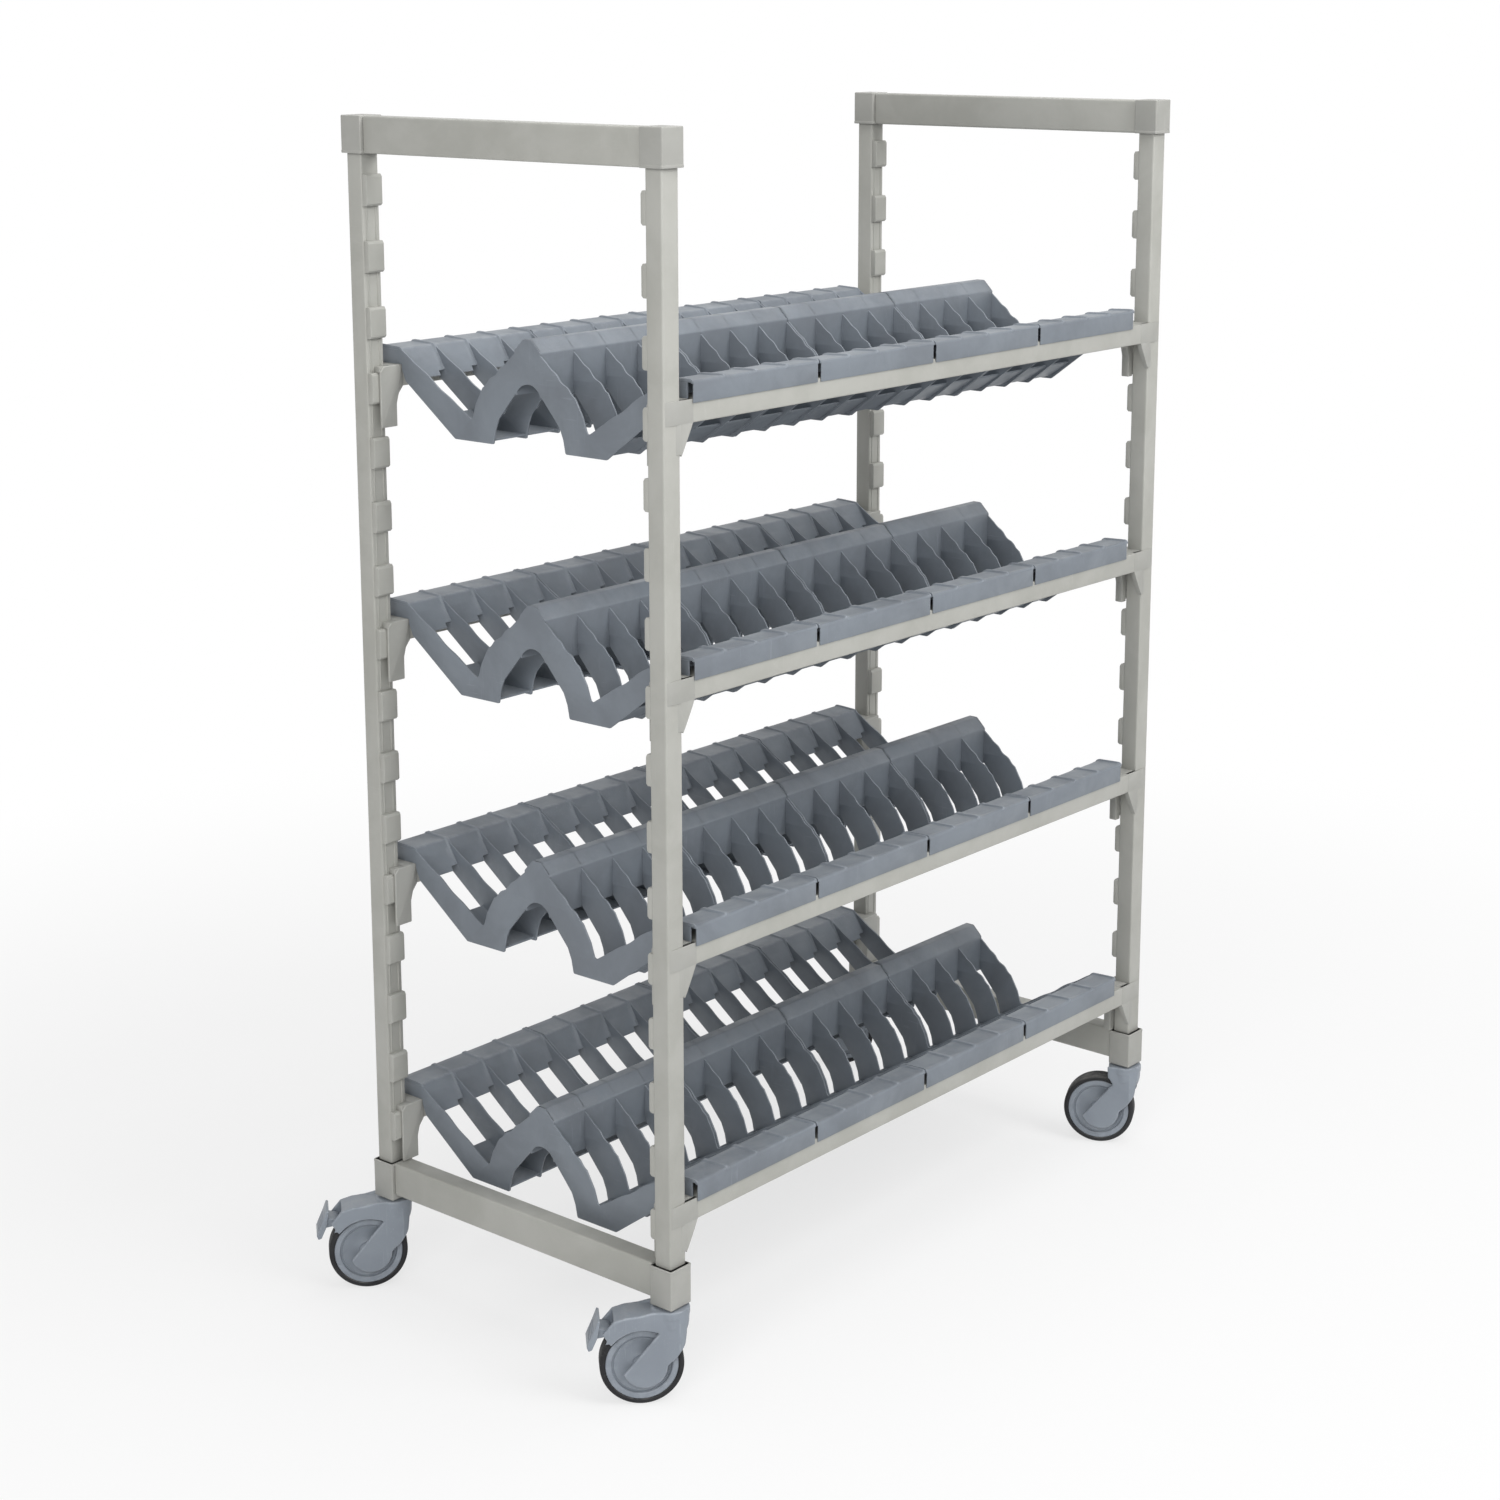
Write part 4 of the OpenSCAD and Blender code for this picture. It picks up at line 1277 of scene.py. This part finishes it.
class Cradles:
    """The sixteen cradles, four to a tier, all of one shape."""

    def build(self, palette: Palette) -> None:
        """Makes the shape once and a shifted mesh for each place.

        Args:
            palette: The materials.
        """
        cradle = Cradle()
        shape = cradle.build()
        for tier in TIERS:
            for i, letter in enumerate(LETTERS):
                shift = np.array([cradle.start + i * (cradle.length + cradle.gap), 0.0, SIZES.tier_z(tier)])
                name = f"cradle_{tier}{letter}"
                mesh = shape.moved(lambda p, shift=shift: p + shift).mesh(name)
                publish(name + "_moulding", mesh, palette.cradle, name + "_body", [name])


# Casters


@dataclass(frozen=True)
class CasterSizes:
    """Sizes that the fork, the wheel and the pedal share, from the swivel's axis and the floor."""

    radius: float = 60.0
    trail: float = 42.0
    pedal_x: float = 89.77
    pedal_z: float = 110.34


CASTER = CasterSizes()


@dataclass(frozen=True)
class CasterSpot:
    """Where a caster stands, which way it trails and whether it has a brake."""

    side: Side
    face: Face
    angle: float
    braked: bool

    @property
    def corner(self) -> str:
        """The corner's name, as in the CAD nodes."""
        return f"{self.face.name}_{self.side.name}".lower()

    def place(self, points: np.ndarray) -> np.ndarray:
        """Turns points from the caster's own frame, trailing along +X, into the rack's.

        Args:
            points: Points about the swivel's axis.

        Returns:
            The points turned by the spot's angle about Z and moved to its corner.
        """
        a = math.radians(self.angle)
        turn = np.array([[math.cos(a), math.sin(a), 0], [-math.sin(a), math.cos(a), 0], [0, 0, 1]])
        return points @ turn + [self.side.value * SIZES.post_cx, self.face.value * SIZES.post_cy, 0]


SPOTS = (CasterSpot(Side.LEFT, Face.FRONT, 136, True), CasterSpot(Side.LEFT, Face.BACK, 140, True),
         CasterSpot(Side.RIGHT, Face.FRONT, 116, False), CasterSpot(Side.RIGHT, Face.BACK, 124, False))


@dataclass
class Fork:
    """A caster's fork: swivel head, arched fender and a leg to each side of the wheel.

    Points are (X, Z) in the caster's own frame. A group of steps is from the place that its comment names.
    """

    head_r: float = 27.5
    top: float = 142.3
    head_h: float = 30.0
    collar: float = 11.5
    inner: float = 19.0
    outer: float = 25.0
    slot_r: float = 63.5
    leg_r: float = 32.0
    leg_shift: tuple[float, float] = (-4.0, 0.5)
    fender_in: float = 4.5
    wall: float = 3.0
    voxel: float = 1.25
    quick_voxel: float = 2.2
    softness: float = 0.5
    soft_rounds: int = 6
    # Share of the head's radius to which points beyond it are drawn in
    within: float = 0.998
    # Metres that a fully worn point stands out
    worn_at: float = 0.00012
    # Front of the leg, from the head's lower front corner
    throat: tuple[tuple[float, float], ...] = ((0, 4), (7, -19), (19, -38))
    # Back of the leg and tail without a fender, from the axle
    leg_back: tuple[float, float] = (-24.0, 50.5)
    tail_start: tuple[float, float] = (-20.0, 57.5)
    # Fender over the pedal's pivot, from that pivot
    brow: tuple[tuple[float, float], ...] = ((8, 2), (-8, 21), (-25, 26))
    web_back: tuple[tuple[float, float], ...] = ((-25, 26), (-8.5, 21), (-8.5, -8))
    brow_run: float = 45.0
    brow_drop: float = 4.0

    @property
    def axle(self) -> np.ndarray:
        """The axle's place."""
        return np.array([CASTER.trail, CASTER.radius])

    @property
    def pivot(self) -> np.ndarray:
        """The place of the pedal's pivot."""
        return np.array([CASTER.pedal_x, CASTER.pedal_z])

    def outline(self, fender: bool) -> np.ndarray:
        """The fork's side view: head, leg with a round end about the axle and, if it has one, the fender.

        Args:
            fender: Whether the fork has a fender.

        Returns:
            The closed outline.
        """
        corner = np.array([-self.head_r, self.top - self.head_h])
        if fender:
            rise = arc(*self.axle, CASTER.radius - self.fender_in, 105, 38, 9)
            brow_top = [self.pivot[0] - self.brow_run, self.top - self.brow_drop]
            tail = np.concatenate([rise, self.pivot + self.brow, [brow_top]])
        else:
            tail = [self.axle + self.tail_start, [self.head_r - 1, CASTER.radius + 65]]
        leg = arc(*(self.axle + self.leg_shift), self.leg_r, 180, 341, 20)
        return np.concatenate([[[-self.head_r, self.top]], corner + self.throat, leg,
                               [self.axle + self.leg_back], tail, [[self.head_r, self.top]]])

    def head(self) -> np.ndarray:
        """The swivel head as rings about Z: neck, cone, fine groove and collar.

        Returns:
            One ring for each (radius, height) point of its profile.
        """
        r, low, seam, steps = self.head_r, self.top - self.head_h, self.top - self.collar, 48
        profile = np.array([[r - 9, low - 10], [r - 4, low - 4], [r - 1.4, low + 6], [r - 0.9, seam - 1.2],
                            [r - 1.6, seam - 0.4], [r, seam + 0.6], [r, self.top - 1.4], [r - 1.4, self.top]])
        turn = arc(0, 0, 1.0, 0, 360, steps)[:-1]
        heights = np.broadcast_to(profile[:, 1][:, None, None], (len(profile), steps, 1))
        return np.concatenate([turn[None] * profile[:, :1, None], heights], axis=2)

    def web(self, fender: bool) -> np.ndarray:
        """The web that joins the legs over the wheel: an arc above the tyre, and the head's underside.

        Args:
            fender: Whether it runs back to the pedal as a fender.

        Returns:
            The closed outline.
        """
        low, front = self.top - self.head_h, -self.head_r + self.wall
        start, end = (148.0, 38.0) if fender else (122.0, 104.0)
        under = arc(*self.axle, self.slot_r, end, start, 24)
        if fender:
            back = np.concatenate([[[self.pivot[0] - self.brow_run, self.top - self.brow_drop]],
                                   self.pivot + self.web_back])
        else:
            back = [[self.head_r - self.wall, self.top - self.wall], [self.head_r - 2, CASTER.radius + 66]]
        return tidy(np.concatenate([under, [[front, low + 6], [front, self.top - self.wall]], back]))

    def solids(self, fender: bool) -> Shell:
        """The overlapping closed solids that the fork is melted together from.

        Args:
            fender: Whether the fork has a fender.

        Returns:
            Two legs, the head and the web.
        """
        shell, side = Shell(), self.outline(fender)
        for sign in (-1, 1):
            low, high = sorted((sign * self.inner, sign * self.outer))
            shell.prism(side, low, high, Axis.Y, bevel=1.6, steps=3)
        shell.loft(self.head())
        return shell.prism(self.web(fender), -self.outer, self.outer, Axis.Y, bevel=2.4, steps=3)

    def melted(self, fender: bool) -> bpy.types.Mesh:
        """The solids remeshed as one surface and smoothed.

        Args:
            fender: Whether the fork has a fender.

        Returns:
            The mesh in the caster's own frame.
        """
        work = bpy.data.objects.new("fork_solids", self.solids(fender).mesh("fork_solids"))
        bpy.context.scene.collection.objects.link(work)
        remesh = work.modifiers.new("melt", "REMESH")
        remesh.mode = "VOXEL"
        remesh.voxel_size = self.voxel * MM
        remesh.use_smooth_shade = True
        smooth = work.modifiers.new("soften", "SMOOTH")
        smooth.factor, smooth.iterations = self.softness, self.soft_rounds
        mesh = bpy.data.meshes.new_from_object(work.evaluated_get(bpy.context.evaluated_depsgraph_get()))
        bpy.data.objects.remove(work)
        return mesh

    def build(self, spot: CasterSpot, palette: Palette) -> None:
        """Makes one fork, turned into place, its head kept within the collar's radius.

        Args:
            spot: The fork's spot.
            palette: The materials.
        """
        shaped = self.melted(spot.braked)
        points = np.empty(len(shaped.vertices) * 3, dtype=np.float32)
        shaped.vertices.foreach_get("co", points)
        local = points.reshape(-1, 3).astype(float) / MM
        radius = np.hypot(local[:, 0], local[:, 1])
        behind = (local[:, 0] < 0) & (radius > self.head_r)
        local[behind, :2] *= (self.head_r / radius[behind])[:, None] * self.within
        placed = spot.place(local) * MM
        shaped.vertices.foreach_set("co", placed.astype(np.float32).reshape(-1))
        layer = shaped.attributes.get("wear") or shaped.attributes.new("wear", "FLOAT", "POINT")
        layer.data.foreach_set("value", self.edge_wear(shaped))
        shaped.shade_smooth()
        name = f"fork_{spot.corner}"
        publish(name + "_casting", shaped, palette.caster, f"caster_{spot.corner}", [name])

    def edge_wear(self, mesh: bpy.types.Mesh) -> np.ndarray:
        """Wear from shape: how far a point stands out from the mean of its neighbours, over worn_at.

        Args:
            mesh: The mesh, in metres.

        Returns:
            A value from 0 to 1 for each vertex.
        """
        count = len(mesh.vertices)
        points, normals = np.empty(count * 3, np.float32), np.empty(count * 3, np.float32)
        mesh.vertices.foreach_get("co", points)
        mesh.vertices.foreach_get("normal", normals)
        points, normals = points.reshape(-1, 3), normals.reshape(-1, 3)
        pairs = np.empty(len(mesh.edges) * 2, np.int32)
        mesh.edges.foreach_get("vertices", pairs)
        a, b = pairs.reshape(-1, 2).T
        total, number = np.zeros((count, 3)), np.zeros(count)
        np.add.at(total, a, points[b])
        np.add.at(total, b, points[a])
        np.add.at(number, a, 1)
        np.add.at(number, b, 1)
        out = ((points - total / np.maximum(number, 1)[:, None]) * normals).sum(axis=1)
        return np.clip(out / self.worn_at, 0, 1).astype(np.float32)


@dataclass
class Wheel:
    """A wheel's core with its dished web and rings, and its tyre."""

    rim_r: float = 52.0
    tyre_w: float = 32.0
    tyre_round: float = 5.0
    hub: float = 18.7
    hub_r: float = 12.5
    bore: float = 4.05
    groove: float = 0.7
    steps: int = 96

    def stand(self, spot: CasterSpot) -> Callable[[np.ndarray], np.ndarray]:
        """A function that stands a shape turned about Z on the wheel's axle.

        Args:
            spot: The wheel's spot.

        Returns:
            The placing function.
        """
        def place(p: np.ndarray) -> np.ndarray:
            """The points with Z laid along the axle, at the wheel's place."""
            upright = np.stack([p[..., 0] + CASTER.trail, -p[..., 2], p[..., 1] + CASTER.radius], axis=-1)
            return spot.place(upright)
        return place

    def turned(self, spot: CasterSpot, half: np.ndarray, wear: np.ndarray | None = None) -> Shell:
        """Half a profile, mirrored about the wheel's middle plane and turned about the axle.

        Args:
            spot: The wheel's spot.
            half: (radius, height) points on one side of that plane, from the smaller radius outwards.
            wear: Edge-wear value of each point, or none.

        Returns:
            The turned shape, in place.
        """
        both = None if wear is None else np.concatenate([wear, wear[::-1]])
        profile = np.concatenate([half, half[::-1] * [1, -1]])
        return Shell().lathe(profile, self.steps, self.stand(spot), both)

    def build(self, spot: CasterSpot, palette: Palette) -> None:
        """Makes the core, from hub over dished web and two rings to the rim, and the tyre of one wheel.

        Args:
            spot: The wheel's spot.
            palette: The materials.
        """
        rim = self.tyre_w / 2 - 1
        half = np.array([[self.bore, self.hub], [self.hub_r, self.hub], [14, self.hub - 1.5],
                         [14.5, rim - 3.5], [17, rim - 5], [23, rim - 6.2], [32, rim - 5.6],
                         [38.5, rim - 3.2], [39.6, rim - 2.6], [40.4, rim - 4.0], [42.2, rim - 4.0],
                         [43.2, rim - 0.8], [44.2, rim - 0.1], [50.6, rim], [51.6, rim - 0.6],
                         [self.rim_r, rim - 1.4]])
        wear = np.array([0.2, 0.9, 0.5, 0, 0, 0, 0, 0.5, 0.9, 0, 0, 0.9, 0.6, 0.6, 0.9, 0.0])
        core = self.turned(spot, half, wear)
        body = f"wheel_{spot.corner}_body"
        name = f"wheel_{spot.corner}"
        publish(name + "_core", core.mesh(name, 28), palette.caster, body, [name])
        w, r, outer = self.tyre_w / 2, self.tyre_round, CASTER.radius
        shoulder = arc(outer - r, w - r, r, 90, 8, 8)
        tread = np.array([[outer, w - r - 0.8], [outer - self.groove, w - r - 1.5],
                          [outer - self.groove, w - r - 2.1], [outer, w - r - 2.8]])
        side = np.array([[self.rim_r + 0.15, w - 1.2], [self.rim_r + 0.9, w - 0.25], [self.rim_r + 1.6, w]])
        tyre = self.turned(spot, np.concatenate([side, shoulder, tread]))
        name = f"tyre_{spot.corner}"
        publish(name + "_rubber", tyre.mesh(name, 40), palette.tyre, body, [name])


@dataclass
class Pedal:
    """A brake pedal: pivot barrel, arm, lobe and a ribbed foot plate.

    Outlines are (X, Z) steps from the pivot, with the pedal raised.
    """

    arm_w: float = 32.0
    plate_w: float = 46.0
    pin_r: float = 3.0
    pin_half: float = 24.5
    barrel: float = 2.0
    lobe_r: float = 3.4
    lobe_x: float = 6.7
    lobe_turn: float = 82.0
    lobe_inset: float = 4.0
    arm: tuple[tuple[float, float], ...] = ((-2, -4), (-2, 5), (14, 9), (17, 8), (21, -6), (15, -7))
    plate: tuple[tuple[float, float], ...] = ((10.5, 21), (14, 22.5), (19, 9), (30, -17), (27.5, -23),
                                              (22.5, -21), (15, -4))
    rib: tuple[tuple[float, float], ...] = ((-2, -1.2), (1.0, -1.2), (0.5, 1.6), (-2, 1.6))
    rib_first: tuple[float, float] = (19.4, 8.0)
    rib_last: tuple[float, float] = (29.6, -16.0)
    rib_at: tuple[float, ...] = (0.15, 0.35, 0.55, 0.75)
    rib_inset: float = 5.0

    def rod(self, radius: float, half: float, dx: float = 0.0, dz: float = 0.0) -> Shell:
        """A rod across the pedal with rounded ends.

        Args:
            radius: The rod's radius.
            half: Half its length.
            dx: Step from the pivot along X.
            dz: Step from the pivot along Z.

        Returns:
            The rod, a circle carried along Y.
        """
        circle = arc(CASTER.pedal_x + dx, CASTER.pedal_z + dz, radius, 0, 360, 28)[:-1]
        return Shell().prism(circle, -half, half, Axis.Y, bevel=0.6)

    def build(self, spot: CasterSpot, palette: Palette) -> None:
        """Makes one pedal in its raised position.

        Args:
            spot: The pedal's spot.
            palette: The materials.
        """
        pivot = np.array([CASTER.pedal_x, CASTER.pedal_z])
        arm, plate, turn = self.arm_w / 2, self.plate_w / 2, math.radians(self.lobe_turn)
        shell = self.rod(self.pin_r + self.barrel, arm).add(self.rod(self.pin_r, self.pin_half))
        shell.add(self.rod(self.lobe_r, arm - self.lobe_inset, self.lobe_x * math.cos(turn),
                           -self.lobe_x * math.sin(turn)))
        shell.prism(fillet(np.array(self.arm) + pivot, 1.5, 4), -arm, arm, Axis.Y, bevel=1.4, steps=3)
        shell.prism(fillet(np.array(self.plate) + pivot, [1, 1, 9, 2, 1.6, 1.6, 9], 5), -plate, plate, Axis.Y,
                    bevel=1.5, steps=3)
        first, last, half = np.array(self.rib_first), np.array(self.rib_last), plate - self.rib_inset
        for t in self.rib_at:
            centre = first + (last - first) * t + pivot
            shell.prism(fillet(centre + self.rib, 0.5), -half, half, Axis.Y, bevel=0.6)
        name = f"pedal_{spot.corner}"
        mesh = shell.moved(spot.place).mesh(name)
        publish(name + "_moulding", mesh, palette.caster, name + "_body", [name])


class Casters:
    """The four casters: two with brakes on the left, two plain ones on the right."""

    def build(self, palette: Palette) -> None:
        """Makes each caster's fork, wheel and pedal.

        Args:
            palette: The materials.
        """
        for spot in SPOTS:
            Fork().build(spot, palette)
            Wheel().build(spot, palette)
            if spot.braked:
                Pedal().build(spot, palette)


# Studio


@dataclass
class Studio:
    """Plain floor, soft lamps and the camera at the photograph's angle.

    Places are in metres, angles in degrees, and the focal length and the image's centre in pixels of the
    photograph.
    """

    eye: tuple[float, float, float] = (-3.266, -2.689, 1.940)
    yaw: float = 40.126
    pitch: float = 12.289
    roll: float = -0.082
    focal_px: float = 2770.9
    centre_y: float = 600.0
    image: float = 1500.0
    sensor: float = 36.0
    far: float = 100.0
    aim: tuple[float, float, float] = (0.0, 0.0, 0.9)
    floor_half: float = 30.0
    floor_tone: float = 0.86
    fade: tuple[float, float] = (1.0, 3.0)
    near_glow: float = 0.7
    light_level: float = 0.36

    def camera(self) -> None:
        """Sets the camera: it looks along (cos pitch cos yaw, cos pitch sin yaw, -sin pitch), then rolls."""
        data = bpy.data.cameras.new("camera")
        data.sensor_fit = "HORIZONTAL"
        data.sensor_width = self.sensor
        data.lens = self.focal_px / self.image * self.sensor
        data.shift_y = (self.centre_y - self.image / 2) / self.image
        data.clip_end = self.far
        camera = bpy.data.objects.new("camera", data)
        yaw, pitch = math.radians(self.yaw), math.radians(self.pitch)
        ahead = Vector((math.cos(pitch) * math.cos(yaw), math.cos(pitch) * math.sin(yaw), -math.sin(pitch)))
        turn = ahead.to_track_quat("-Z", "Y").to_matrix().to_4x4()
        turn = turn @ Matrix.Rotation(math.radians(self.roll), 4, "Z")
        camera.matrix_world = Matrix.Translation(self.eye) @ turn
        bpy.context.scene.collection.objects.link(camera)
        bpy.context.scene.camera = camera

    def lamp(self, name: str, place: tuple[float, float, float], size: float, watts: float) -> None:
        """Adds a square soft lamp that looks at the rack's middle.

        Args:
            name: The lamp's name.
            place: Its place.
            size: Length of its side.
            watts: Its power.
        """
        data = bpy.data.lights.new(name, "AREA")
        data.shape, data.size, data.energy = "SQUARE", size, watts
        lamp = bpy.data.objects.new(name, data)
        lamp.location = place
        lamp.rotation_euler = (Vector(self.aim) - Vector(place)).to_track_quat("-Z", "Y").to_euler()
        bpy.context.scene.collection.objects.link(lamp)

    def seen_directly(self, g: Graph) -> bpy.types.NodeSocket:
        """1 where a ray comes from the camera, a gloss or a clear material, else 0.

        Args:
            g: The graph that the nodes go into.

        Returns:
            The value's socket.
        """
        path = g.add("ShaderNodeLightPath")
        seen = g.math("MAXIMUM", path.outputs["Is Camera Ray"], path.outputs["Is Glossy Ray"])
        return g.math("MAXIMUM", seen, path.outputs["Is Transmission Ray"])

    def world(self) -> None:
        """Sets a world that is white where it is seen and softer where it lights."""
        world = bpy.data.worlds.new("studio")
        world.use_nodes = True
        world.node_tree.nodes.clear()
        g = Graph(world.node_tree)
        strength = g.span(self.seen_directly(g), 0.0, 1.0, self.light_level, 1.0)
        light = g.add("ShaderNodeBackground", {"Color": (1.0, 1.0, 1.0, 1.0), "Strength": strength})
        g.add("ShaderNodeOutputWorld", {"Surface": light.outputs[0]})
        bpy.context.scene.world = world

    def floor(self) -> None:
        """Adds a wide pale floor; its own glow makes it white where nothing shades it and far away."""
        mesh = bpy.data.meshes.new("studio_floor")
        half = self.floor_half
        mesh.from_pydata([(-half, -half, 0), (half, -half, 0), (half, half, 0), (-half, half, 0)], [],
                         [(0, 1, 2, 3)])
        floor = bpy.data.objects.new("studio_floor", mesh)
        bpy.context.scene.collection.objects.link(floor)
        material = bpy.data.materials.new("studio_floor")
        material.use_nodes = True
        material.node_tree.nodes.clear()
        g = Graph(material.node_tree)
        shader = g.add("ShaderNodeBsdfPrincipled", {"Base Color": (*[self.floor_tone] * 3, 1.0),
                                                    "Roughness": 0.9, "Specular IOR Level": 0.1})
        glow = g.add("ShaderNodeEmission", {"Color": (1.0, 1.0, 1.0, 1.0), "Strength": 1.0})
        place = g.add("ShaderNodeTexCoord").outputs["Object"]
        away = g.add("ShaderNodeVectorMath", {0: place}, operation="LENGTH").outputs["Value"]
        mix = g.math("MULTIPLY", self.seen_directly(g), g.span(away, *self.fade, self.near_glow, 1.0))
        both = g.add("ShaderNodeMixShader", {0: mix, 1: shader.outputs[0], 2: glow.outputs[0]})
        g.add("ShaderNodeOutputMaterial", {"Surface": both.outputs[0]})
        mesh.materials.append(material)

    def build(self) -> None:
        """Sets up the whole studio."""
        self.camera()
        self.world()
        self.floor()
        self.lamp("key", (0.8, -4.6, 4.3), 3.0, 160)
        self.lamp("top", (0.2, -0.6, 5.4), 3.5, 85)
        self.lamp("fill", (-4.6, -2.4, 3.2), 3.0, 125)
        bpy.context.scene.view_settings.view_transform = "Standard"


def main() -> None:
    """Builds the studio and every sub-assembly in order."""
    Studio().build()
    palette = Palette()
    palette.dress_nodes()
    for part in (Posts(), CornerFittings(), EndBars(), Traverses(), Connectors(), Cradles(), Casters()):
        part.build(palette)


if __name__ == "__main__":
    main()
